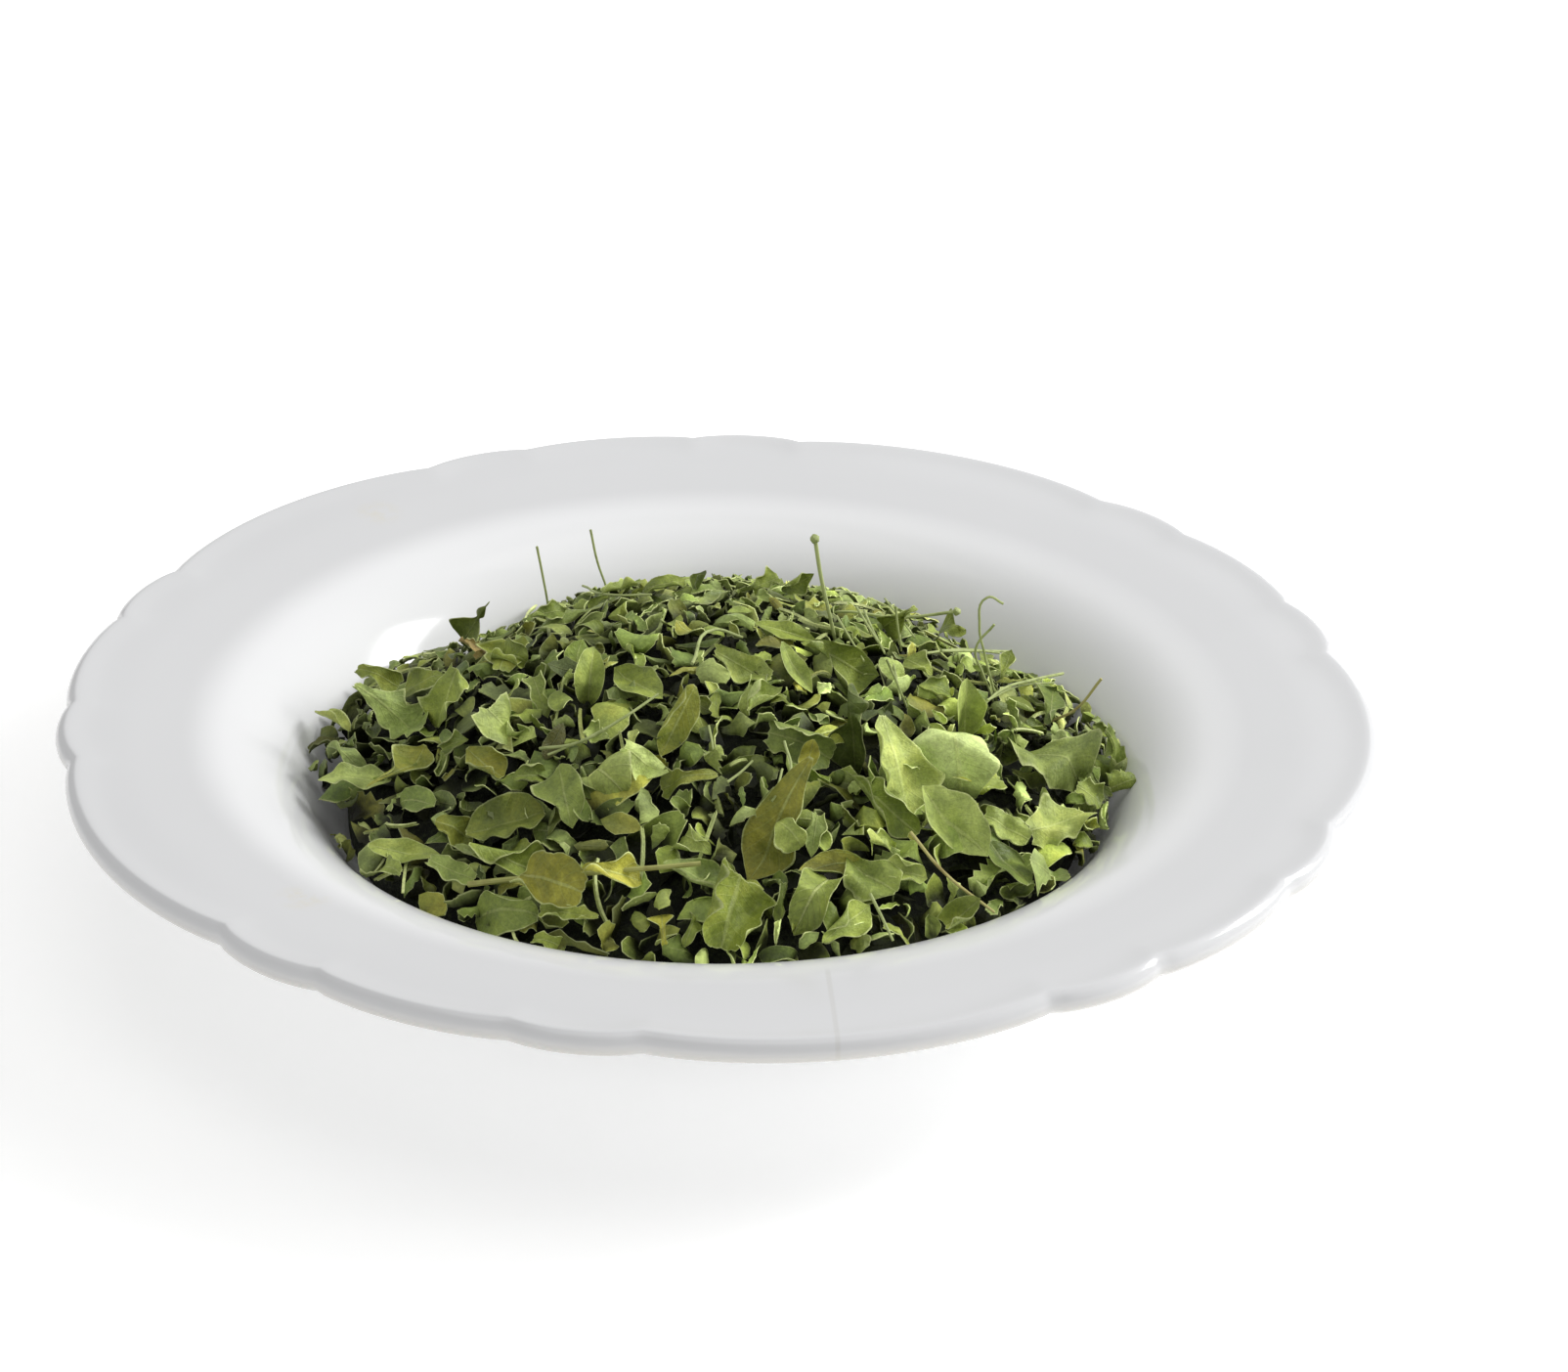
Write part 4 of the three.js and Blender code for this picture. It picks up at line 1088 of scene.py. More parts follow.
LOOSE_LEAVES = (
    leaf("pale_flower_bit", PALE, TORN, (19.1, -16.4, 43.6), (20, 50), (2.6, 2.0),
         (60, 80), (2.2, 0.45, 1.0)),
    leaf("brown_piece", OLIVE, CHIP, (-44.4, 11.6, 36.5), (-20, 40, -5), (4.2, 2.6),
         (40, 120), (0.9, 1.0, 0.1)),
    leaf("brown_crumb", OLIVE, TORN, (-42.1, 6.9, 37.4), (30, 40), (3.4, 2.2), (40, 90), (0.75, 0.95)),
    leaf("lower_ruffled", GREEN, BLUNT, (29.4, -39.7, 33.8), (-42, 35), (16.4, 6.5),
         (25, 35, 1.1), (0.95, 0.34), waves=2.6, phase=0.5, creases=((70, 0.1, 0.45), (15, -0.1, -0.4))),
    leaf("pointed_bright", GREEN, BLADE, (14.3, -10.8, 44.4), (-58, 40), (10.5, 3.9),
         (20, 0, 0.3), (1.2, 0.42, 0.2), fold=0.5, twist=25),
    leaf("near_light_pointed", GREEN, OVAL, (23.4, -64.2, 24.4), (44, 45), (11.2, 5.7),
         (25, 60, 0.5), (1.15, 0.4, 0.1), phase=1.0),
    leaf("near_light_fold", PALE, OVAL, (32.8, -53.8, 28.2), (-11, 35, 5), (8.3, 6.3),
         (10, 150, 0.4), (1.25, 0.45, 0.2)),
    leaf("near_right_cut", GREEN, SQUARE, (42.7, -57.4, 22.5), (38, 40), (7.6, 5.1),
         (20, 20, 0.4), (1.0, 0.45, 0.1), creases=((80, 0.0, 0.3),)),
    leaf("round_olive", OLIVE, BLUNT, (-43.6, -42.5, 28.6), (-14, 35, -8), (6.1, 5.8),
         (20, 40, 0.2), (0.85, 0.5)),
    leaf("low_left_pointed", PALE, BLADE, (-52.3, -43.5, 25.0), (-9, 32, -12), (12.5, 4.9),
         (40, 0, 0.6), (1.1, 0.45, 0.2), fold=0.3, twist=20),
    leaf("right_pale_piece", PALE, TORN, (50.8, -36.8, 27.7), (-28, 35, 12), (8.7, 5.5),
         (30, 30, 0.6), (1.15, 0.42, 0.25), creases=((40, 0.0, 0.5),)),
    leaf("near_blue_piece", PALE, CHIP, (58.2, -42.6, 22.4), (4, 35, 12), (7.6, 4.9),
         (20, -30), (1.05, 0.2, 0.5), creases=((60, 0.0, -0.5), (0, 0.1, 0.5))),
    leaf("middle_grey_leaf", GREEN, TORN, (15.3, -30.1, 40.0), (-19, 38), (12.2, 7.3),
         (25, 30, 0.9), (0.85, 0.3, 0.15), waves=3, creases=((80, 0.05, 0.45), (20, 0.1, -0.5))),
    leaf("small_yellow_pointed", YELLOW, BLADE, (16.5, -34.7, 39.5), (-105, 45), (6.4, 3.7),
         (10, 0, 0.2), (1.0, 0.72), fold=0.4),
    leaf("pale_roll", PALE, SQUARE, (8.9, -21.1, 43.8), (38, 40), (7.3, 3.9), (30, 230), (1.3, 0.45, 0.3)),
    leaf("pale_hook", PALE, BLADE, (5.8, -21.9, 43.5), (81, 55), (6.1, 2.4), (90, 60), (1.25, 0.45, 0.25)),
    leaf("pale_flat_top", PALE, TORN, (5.2, -12.1, 45.4), (-18, 40), (10.2, 4.8),
         (20, 30, 0.6), (1.25, 0.5, 0.35), creases=((50, 0.0, -0.3),)),
    leaf("green_bow", GREEN, BLADE, (12.1, 1.0, 45.7), (-15, 35), (11.2, 4.7), (-40, 0, 0.5), (1.0, 0.4),
         fold=0.5),
    leaf("broad_shadowed", GREEN, OVAL, (22.4, -4.8, 43.2), (-13, 40), (14.3, 6.4),
         (15, 60, 0.7), (0.85, 0.38), creases=((60, -0.1, 0.4),)),
    leaf("round_right", GREEN, OVAL, (35.9, 0.0, 40.0), (-43, 40, 6), (6.3, 4.9),
         (20, 60, 0.4), (1.05, 0.4, 0.1)),
    leaf("boat_right", GREEN, OVAL, (39.3, -6.1, 38.4), (0, 35, 8), (6.7, 4.3),
         (20, 170, 0.3), (0.9, 0.35)),
    leaf("upright_right", GREEN, BLADE, (60.6, 5.8, 29.7), (58, 62, 12), (8.2, 4.4),
         (10, 60, 0.2), (0.65, 0.25)),
    leaf("upright_small", GREEN, BLADE, (52.7, 15.8, 32.5), (67, 62, 8), (6.0, 2.6), (10, 60), (0.9, 0.4)),
    leaf("right_rim_first", GREEN, TORN, (72.4, 0.1, 22.4), (-23, 35, 25), (6.7, 5.5),
         (40, 80, 0.6), (0.8, 0.3), creases=((30, 0.1, 0.5),)),
    leaf("right_rim_second", GREEN, CHIP, (72.8, -9.6, 21.7), (26, 35, 20), (5.3, 4.4),
         (30, -70, 0.5), (0.85, 0.35)),
    leaf("right_rim_third", GREEN, TORN, (66.5, -18.4, 24.1), (-19, 35, 18), (5.5, 5.0),
         (30, 60, 0.5), (0.95, 0.4, 0.1)),
    leaf("right_rim_fourth", GREEN, CHIP, (70.3, 5.7, 24.3), (-16, 35, 20), (4.5, 3.5),
         (30, 70, 0.5), (0.8, 0.35)),
    leaf("far_left_pointed", PALE, BLADE, (-70.1, 5.7, 24.4), (138, 25, -20), (10.5, 3.1),
         (20, 40), (1.1, 0.5, 0.2)),
    leaf("left_curly", GREEN, TORN, (-61.9, 11.7, 30.3), (155, 35, -15), (9.3, 4.3),
         (60, 110, 0.6), (0.95, 0.45)),
    leaf("left_crumple", PALE, CHIP, (-57.4, -3.9, 30.8), (-33, 35, -12), (12.7, 7.3),
         (30, 40, 0.8), (1.05, 0.25, 0.35), waves=3,
         creases=((70, 0.0, -0.6), (10, 0.1, 0.6), (130, -0.1, 0.4))),
    leaf("left_boat", GREEN, OVAL, (-53.1, 2.4, 33.5), (20, 35, -10), (8.8, 5.0),
         (20, 150, 0.3), (0.8, 0.45)),
    leaf("left_upright", GREEN, BLADE, (-45.1, 20.8, 36.3), (50, 62, -5), (9.1, 4.1),
         (30, 80, 0.3), (0.75, 0.35)),
    leaf("left_broad_green", GREEN, BLUNT, (-37.4, 2.1, 39.7), (-26, 40, -4), (7.2, 7.0),
         (30, 40, 0.5), (0.95, 0.42), creases=((60, 0.0, 0.3),)),
    leaf("middle_upright", GREEN, SQUARE, (-30.7, -15.1, 40.4), (-69, 52), (8.2, 4.1),
         (10, 70, 0.3), (0.9, 0.35, 0.15)),
    leaf("dark_strip", OLIVE, STRIP, (-4.0, -39.7, 37.8), (9, 38), (10.1, 4.4), (15, 40, 0.4), (0.8, 0.5)),
    leaf("far_left_blue", PALE, OVAL, (-65.6, -11.5, 25.7), (-41, 25, -15), (9.3, 4.4),
         (15, 30, 0.4), (0.95, 0.15, 0.4)),
    leaf("near_wavy_edge", GREEN, STRIP, (-23.4, -63.7, 25.0), (-9, 45), (10.0, 3.7),
         (20, 70, 1.0), (1.1, 0.45, 0.1), waves=2),
    leaf("yellow_curl", YELLOW, BLADE, (-7.5, -67.5, 24.9), (97, 50), (7.0, 3.9), (20, 140), (1.1, 0.75)),
    leaf("near_roll", PALE, SQUARE, (-2.1, -52.9, 32.8), (-39, 38), (6.1, 4.1),
         (10, 210), (1.1, 0.42, 0.25)),
    leaf("grey_curved", GREEN, BLUNT, (-1.8, -58.4, 29.7), (-19, 38), (10.5, 6.7),
         (60, 20, 0.3), (0.95, 0.28, 0.25)),
    leaf("left_low_crumple", GREEN, CHIP, (-55.7, -45.5, 22.8), (-39, 30, -10), (7.6, 4.9),
         (30, 40), (1.05, 0.4, 0.15), creases=((60, 0.0, 0.5), (0, 0.0, -0.4))),
    leaf("left_low_second", GREEN, TORN, (-43.7, -50.7, 25.4), (-27, 34, -8), (9.0, 4.2),
         (25, 50, 0.5), (0.95, 0.3, 0.2)),
    leaf("broad_low_middle", GREEN, TORN, (-33.0, -51.7, 28.0), (-9, 34, -6), (12.0, 5.5),
         (20, 40, 0.6), (0.9, 0.38), creases=((70, 0.0, 0.3),)),
    leaf("olive_long_left", OLIVE, BLADE, (-53.7, -21.9, 30.2), (-118, 36, -10), (13.0, 5.3),
         (40, 50, 0.3), (0.95, 0.55), twist=25),
    leaf("dark_roll_left", GREEN, SQUARE, (-45.3, -21.4, 34.1), (32, 38, -8), (5.2, 3.8),
         (10, 220), (0.75, 0.35)),
    leaf("olive_smooth_left", OLIVE, BLUNT, (-39.5, -29.1, 34.4), (-43, 36, -8), (8.8, 6.2),
         (25, 50, 0.3), (0.85, 0.55)),
    leaf("dark_curl_left", GREEN, OVAL, (-31.1, -34.8, 35.3), (9, 36, -5), (6.2, 5.3),
         (40, 60, 0.3), (0.75, 0.35)),
    leaf("middle_dark_roll", GREEN, SQUARE, (-21.6, -39.1, 35.8), (-56, 38, -4), (5.8, 5.1),
         (20, 190), (0.6, 0.3)),
    leaf("far_top_first", GREEN, BLUNT, (-10.4, 25.0, 43.0), (11, 48), (8.6, 3.7),
         (40, 50, 0.5), (0.95, 0.4)),
    leaf("far_top_second", GREEN, BLADE, (-3.7, 25.9, 43.5), (60, 62), (4.2, 2.9), (20, 60), (0.65, 0.3)),
    leaf("far_top_third", GREEN, TORN, (8.5, 26.0, 43.3), (25, 50), (5.5, 3.7), (30, 70, 0.5), (0.9, 0.4)),
    leaf("far_top_fourth", GREEN, BLADE, (14.3, 28.6, 42.1), (28, 55), (6.5, 3.7),
         (20, 60, 0.3), (0.8, 0.35)),
    leaf("far_top_fifth", GREEN, TORN, (32.8, 19.7, 39.8), (30, 48, 4), (7.1, 4.0),
         (30, 80, 0.4), (0.9, 0.4)),
    leaf("far_top_sixth", GREEN, OVAL, (42.8, 23.5, 35.7), (-17, 40, 8), (5.5, 4.1),
         (30, 60, 0.3), (0.85, 0.42)),
    leaf("far_top_seventh", PALE, TORN, (-18.3, 26.1, 41.7), (18, 48), (6.4, 3.4),
         (40, 40, 0.6), (1.15, 0.45, 0.2)),
    leaf("far_top_eighth", GREEN, BLADE, (-30.8, 17.5, 40.8), (19, 50, -4), (6.6, 3.7),
         (30, 80, 0.4), (0.85, 0.35)),
    leaf("ribbed_on_olive", PALE, BLUNT, (13.5, -51.0, 33.9), (-46, 36), (6.5, 5.2),
         (40, 100, 0.3), (1.1, 0.42, 0.2)),
    leaf("cut_beside_olive", GREEN, SQUARE, (17.6, -49.7, 32.7), (-97, 38), (8.0, 3.3),
         (30, 40, 0.3), (1.0, 0.3, 0.25)),
    leaf("small_light_roll", PALE, SQUARE, (29.3, -48.9, 30.7), (22, 38), (5.0, 3.2),
         (0, 200), (1.25, 0.45, 0.25)),
    leaf("near_left_small", GREEN, TORN, (-26.2, -67.7, 21.5), (-12, 42), (5.9, 3.4),
         (30, 50, 0.4), (0.95, 0.4)),
    leaf("near_dark_curl", GREEN, BLUNT, (-2.6, -67.4, 24.6), (69, 46), (6.9, 3.6), (30, 120), (0.8, 0.38)),
    leaf("middle_light_chip", PALE, CHIP, (-20.2, -28.7, 40.0), (-19, 40), (4.3, 3.6),
         (20, 60), (1.15, 0.35, 0.3)),
    leaf("middle_pale_point", PALE, BLADE, (-13.6, -30.5, 40.9), (73, 50), (3.3, 2.0),
         (20, 60), (1.2, 0.5, 0.35)),
    leaf("light_chip_right", PALE, CHIP, (0.2, -35.0, 40.1), (43, 45), (3.6, 2.8),
         (20, 60), (1.2, 0.45, 0.3)),
)


# The photograph's camera


@dataclass(frozen=True)
class PhotoCamera:
    """The camera at the photograph's viewing angle, in millimetres and degrees."""

    aim: Point = (12.08, 8.51, 31.0)
    distance: float = 771.9
    elevation: float = 27.208
    roll: float = 0.872
    lens: float = 97.7
    sensor: float = 36.0
    image_width: int = 1604
    image_height: int = 1403

    def axes(self) -> tuple[np.ndarray, np.ndarray, np.ndarray]:
        """The camera's right, up and backward directions."""
        lift = math.radians(self.elevation)
        spin = math.radians(self.roll)
        back = np.array([0.0, -math.cos(lift), math.sin(lift)])
        level = np.array([1.0, 0.0, 0.0])
        steep = np.array([0.0, math.sin(lift), math.cos(lift)])
        right = math.cos(spin) * level + math.sin(spin) * steep
        up = math.cos(spin) * steep - math.sin(spin) * level
        return right, up, back

    def place(self) -> np.ndarray:
        """Where the camera stands, in millimetres."""
        return np.array(self.aim) + self.distance * self.axes()[2]

    def project(self, points: np.ndarray) -> tuple[np.ndarray, np.ndarray]:
        """Finds the image place and the distance of points.

        Args:
            points: Rows of x, y and z in millimetres.

        Returns:
            Rows of image x and y in pixels, and the distances along the view in millimetres.
        """
        right, up, back = self.axes()
        offset = points - self.place()
        depth = -offset @ back
        focal = self.lens / self.sensor * self.image_width
        across = self.image_width / 2 + focal * (offset @ right) / depth
        down = self.image_height / 2 - focal * (offset @ up) / depth
        return np.stack([across, down], axis=1), depth

    def build(self) -> None:
        """Makes the camera and uses it for the scene."""
        right, up, back = self.axes()
        data = bpy.data.cameras.new("photo_camera")
        data.lens = self.lens
        data.sensor_width = self.sensor
        data.clip_start = 0.05
        data.clip_end = 20.0
        camera = bpy.data.objects.new("photo_camera", data)
        bpy.context.scene.collection.objects.link(camera)
        turn = Matrix((right, up, back)).transposed().to_4x4()
        camera.matrix_world = Matrix.Translation(Vector(self.place() * MM)) @ turn
        bpy.context.scene.camera = camera


@dataclass
class ViewGuard:
    """Keeps small leaf pieces from covering the large ones, as the camera sees them."""

    camera: PhotoCamera
    cell: float = 3.0
    slack: float = 0.2
    nearest: np.ndarray = field(init=False)

    def __post_init__(self) -> None:
        """Starts with nothing to keep clear."""
        shape = (int(self.camera.image_height / self.cell), int(self.camera.image_width / self.cell))
        self.nearest = np.zeros(shape)

    def cells(self, points: np.ndarray) -> tuple[np.ndarray, np.ndarray, np.ndarray]:
        """The guard's cells and the distances of points."""
        places, depth = self.camera.project(points)
        across = np.clip((places[:, 0] / self.cell).astype(int), 0, self.nearest.shape[1] - 1)
        down = np.clip((places[:, 1] / self.cell).astype(int), 0, self.nearest.shape[0] - 1)
        return down, across, depth

    def keep(self, points: np.ndarray) -> None:
        """Keeps the view of these points clear."""
        down, across, depth = self.cells(points)
        np.maximum.at(self.nearest, (down, across), depth)

    def covered(self, points: np.ndarray) -> float:
        """The share of these points that stand in front of what is kept clear."""
        down, across, depth = self.cells(points)
        return float(np.mean(depth < self.nearest[down, across] - self.slack))


# The heap


CUT_CHANCES = {
    OVAL: 0.16, BLUNT: 0.12, BLADE: 0.2, SQUARE: 0.16, TORN: 0.12, CHIP: 0.08, STRIP: 0.1, STALK: 0.06
}


@dataclass(frozen=True)
class Hollow:
    """A dip in the heap's edge: its middle, how deep it is and how far it reaches."""

    x: float
    y: float
    depth: float
    reach: float


@dataclass
class LeafHeap:
    """The heap of small leaf pieces, dropped one by one on what lies there already. Sizes in millimetres."""

    plate: ScallopedPlate
    guard: ViewGuard
    top: float = 44.0
    fall: float = 0.0057
    swell: float = 5.0
    radius: float = 72.0
    outer: float = 74.5
    mound_depth: float = 7.0
    hollows: tuple[Hollow, ...] = (
        Hollow(-45.0, 47.0, 5.0, 15.0), Hollow(49.0, 42.0, 5.5, 15.0), Hollow(-68.0, -30.0, 4.5, 13.0)
    )
    cell: float = 1.0
    reach: float = 80.0
    pieces: int = 2300
    tries: int = 9200
    spots: int = 14
    sunk_percent: float = 28.0
    deepest_sink: float = 2.2
    wall_gap: float = 0.25
    wall_step: float = 1.2
    wall_steps: int = 8
    beside: float = 0.7
    near_size: float = 1.0
    far_size: float = 0.8
    log_length: Values = (2.12, 0.36)
    shortest: float = 3.0
    longest: float = 15.0
    thickness: float = 0.2
    stalk_thickness: float = 0.5
    scatter: float = 40.0
    most_covered: float = 0.1
    block_chance: float = 0.12
    proud_near: float = 3.4
    proud_far: float = 2.2
    # Painted shade: the heap's pieces are darker the deeper they lie under the heap's top.
    painted_shade_strength: float = 0.94
    painted_shade_depth: float = 3.2
    painted_shade_around: float = 2.0
    painted_shade_cap: float = 2.0
    # Painted light: the heap's pieces are lighter towards the right, where the light comes from, and darker
    # towards the left.
    left_painted_light: float = 0.7
    right_painted_light: float = 1.34
    side_at: float = 60.0
    mesh_triangles: int = 150_000
    seed: int = 76
    heights: np.ndarray = field(init=False)
    blocked: np.ndarray = field(init=False)

    def __post_init__(self) -> None:
        """Starts with the mound in the well."""
        line = np.arange(-self.reach, self.reach + self.cell, self.cell)
        x, y = np.meshgrid(line, line, indexing="ij")
        floor = self.plate.top_at(np.hypot(x, y))
        self.heights = np.maximum(floor, self.target(x, y) - self.mound_depth)
        self.blocked = np.zeros_like(self.heights, dtype=bool)

    def dome(self, radius: np.ndarray) -> np.ndarray:
        """The height of the heap's round shape, which is fuller at its edge, where it leans on the wall."""
        return self.top - self.fall * radius**2 + self.swell * (radius / self.radius) ** 3

    def target(self, x: np.ndarray, y: np.ndarray) -> np.ndarray:
        """The heap's height over the table at a place, with the hollows at its edge."""
        height = self.dome(np.hypot(x, y))
        for dip in self.hollows:
            height = height - dip.depth * np.exp(-((x - dip.x) ** 2 + (y - dip.y) ** 2) / dip.reach**2)
        return height

    def cell_of(self, x: np.ndarray, y: np.ndarray) -> tuple[np.ndarray, np.ndarray]:
        """The cells that hold these places."""
        last = self.heights.shape[0] - 1
        i, j = (np.clip(np.rint((one + self.reach) / self.cell).astype(int), 0, last) for one in (x, y))
        return i, j

    def lowest_spot(self, draw: np.random.Generator) -> tuple[float, float]:
        """Picks the spot that lies furthest below the heap's shape, out of a few drawn at random."""
        radius = self.outer * np.sqrt(draw.uniform(0, 1, self.spots))
        angle = draw.uniform(0, 2 * math.pi, self.spots)
        x, y = radius * np.cos(angle), radius * np.sin(angle)
        cells = self.cell_of(x, y)
        need = self.target(x, y) - self.heights[cells]
        need[self.blocked[cells]] = -math.inf
        best = int(np.argmax(need))
        return float(x[best]), float(y[best])

    def settle(self, points: np.ndarray) -> np.ndarray | None:
        """Lowers a leaf piece on to the heap and clear of the plate's wall.

        Args:
            points: Its points round its place, at height 0.

        Returns:
            The points where they come to rest, or nothing if there is no room.
        """
        for _ in range(self.wall_steps):
            gap = points[:, 2] - self.heights[self.cell_of(points[:, 0], points[:, 1])]
            drop = max(-np.percentile(gap, self.sunk_percent), -gap.min() - self.deepest_sink)
            resting = points + np.array([0, 0, drop])
            clear = resting[:, 2] - self.plate.top_at(np.hypot(resting[:, 0], resting[:, 1]))
            if clear.min() > self.wall_gap:
                return resting
            middle = points.mean(axis=0)[:2]
            points = points - np.append(middle / np.linalg.norm(middle) * self.wall_step, 0)
        return None

    def raise_by(self, points: np.ndarray) -> None:
        """Lets later pieces rest on this one, also a little beside its points."""
        steps = (-self.beside, 0.0, self.beside)
        for dx, dy in product(steps, steps):
            np.maximum.at(self.heights, self.cell_of(points[:, 0] + dx, points[:, 1] + dy), points[:, 2])

    def draw_leaf(self, draw: np.random.Generator, y: float) -> tuple[Cut, float, float, Curl]:
        """Draws a leaf piece's cut, length, width and curl. Pieces are smaller towards the back."""
        cut = tuple(CUT_CHANCES)[int(draw.choice(len(CUT_CHANCES), p=tuple(CUT_CHANCES.values())))]
        size = float(np.interp(y, (-self.side_at, self.side_at), (self.near_size, self.far_size)))
        length = size * float(np.clip(draw.lognormal(*self.log_length), self.shortest, self.longest))
        width = length * draw.uniform(0.36, 0.76)
        if cut is STALK:
            length, width = length * 1.35, draw.uniform(0.45, 0.75)
        if cut is STRIP:
            width *= 0.5
        around, slide, steep = (0, 180), (-0.3, 0.3), (0, 0.55)
        curl = Curl(
            along=draw.normal(10, 55),
            across=draw.normal(0, 260 if draw.uniform() < 0.25 else 140),
            twist=draw.normal(0, 45),
            fold=draw.uniform(-0.3, 0.7) * (draw.uniform() < 0.4),
            ripple=length * draw.uniform(0.01, 0.08),
            waves=draw.uniform(1.2, 3.0),
            creases=tuple(
                (draw.uniform(*around), draw.uniform(*slide), draw.normal(*steep))
                for _ in range(draw.integers(2, 5))
            ),
            phase=draw.uniform(0, 6.3),
            rolled=draw.uniform(1.0, 2.6),
            lop=draw.uniform(-0.8, 0.8),
        )
        if cut is STALK:
            curl = Curl(along=draw.normal(0, 50), twist=draw.normal(0, 20))
        return cut, length, width, curl

    def draw_tone(self, draw: np.random.Generator, cut: Cut, x: float) -> Tone:
        """Draws a leaf piece's colour. The pieces are lighter towards the right: painted light."""
        if cut is STALK:
            return Tone(draw.uniform(0.95, 1.3), draw.uniform(0.45, 0.75), draw.uniform(0.3, 0.8))
        # Painted light, lighter towards the right.
        side = float(np.interp(x, (-self.side_at, self.side_at), (self.left_painted_light, self.right_painted_light)))
        hue = float(np.clip(draw.normal(0.36, 0.14), 0, 0.8))
        pale = draw.uniform(0.25, 0.6) if draw.uniform() < 0.22 else draw.uniform(0, 0.15)
        veined = draw.uniform(0.2, 0.8) if draw.uniform() < 0.2 else 0.0
        return Tone(side * float(np.clip(draw.normal(1.03, 0.36), 0.35, 1.9)), hue, pale, veined)

    def lay_pose(self, draw: np.random.Generator, x: float, y: float) -> Pose:
        """Draws how a leaf piece lies: on the heap's slope, give or take, and turned any way."""
        radius = math.hypot(x, y)
        fullness = 3 * self.swell * radius**2 / self.radius**3
        slope = math.degrees(math.atan(2 * self.fall * radius - fullness))
        angle = math.atan2(y, x)
        lean = -slope * math.sin(angle) + draw.normal(0, self.scatter)
        side = slope * math.cos(angle) + draw.normal(0, self.scatter)
        return Pose((x, y, 0.0), draw.uniform(0, 360), lean, side)

    def place_leaf(self, draw: np.random.Generator, patterns: Patterns) -> Placed | None:
        """Draws one leaf piece and rests it on the heap.

        Args:
            draw: The source of random numbers.
            patterns: The leaf shapes by their cut.

        Returns:
            The shape, its placed points and its colour, or nothing if it has no room.
        """
        x, y = self.lowest_spot(draw)
        cut, length, width, curl = self.draw_leaf(draw, y)
        pattern = patterns[cut][int(draw.integers(len(patterns[cut])))]
        thickness = self.stalk_thickness if cut is STALK else self.thickness
        bent = curl.bend(pattern.points * np.array([length, width, thickness]), length, width)
        resting = self.settle(self.lay_pose(draw, x, y).put(bent))
        if resting is None or self.guard.covered(resting) > self.most_covered or self.too_high(resting, y):
            self.blocked[self.cell_of(np.array([x]), np.array([y]))] |= draw.uniform() < self.block_chance
            return None
        self.raise_by(resting)
        return pattern, resting, self.draw_tone(draw, cut, x)

    def too_high(self, points: np.ndarray, y: float) -> bool:
        """Whether a leaf piece stands too far out of the heap's shape. Less is allowed at the back."""
        proud = float(np.interp(y, (0, 25), (self.proud_near, self.proud_far)))
        return bool((points[:, 2] > self.target(points[:, 0], points[:, 1]) + proud).any())

    def painted_shade(self, points: np.ndarray) -> np.ndarray:
        """Painted shade: how much dimmer the leaf is at each point, from how deep it lies under the heap's top.
        """
        above = np.zeros(len(points))
        sides = ((-1, 0), (1, 0), (0, -1), (0, 1), (0, 0))
        for dx, dy in sides:
            x, y = points[:, 0] + dx * self.painted_shade_around, points[:, 1] + dy * self.painted_shade_around
            cap = self.target(x, y) + self.painted_shade_cap
            above += np.minimum(self.heights[self.cell_of(x, y)], cap) / len(sides)
        return 1 - self.painted_shade_strength * smoothstep(0.0, self.painted_shade_depth, above - points[:, 2])

    def build(self, patterns: Patterns, material: bpy.types.Material) -> None:
        """Fills the heap with leaf pieces, in meshes of a fair size.

        Args:
            patterns: The leaf shapes by their cut.
            material: The leaf material.
        """
        draw = np.random.default_rng(self.seed)
        made = (self.place_leaf(draw, patterns) for _ in range(self.tries))
        placed = list(islice((one for one in made if one is not None), self.pieces))
        log.info("%d small leaf pieces placed", len(placed))
        batches = [LeafBatch()]
        for pattern, points, tone in placed:
            if batches[-1].triangles > self.mesh_triangles:
                batches.append(LeafBatch())
            # Each small piece gets painted shade, darker the deeper it lies.
            batches[-1].add(pattern, points, tone, self.painted_shade(points))
        for number, batch in enumerate(batches, start=1):
            finish_piece(batch.build(f"crumbled_leaves_{number}"), material, ("leaf_heap",))


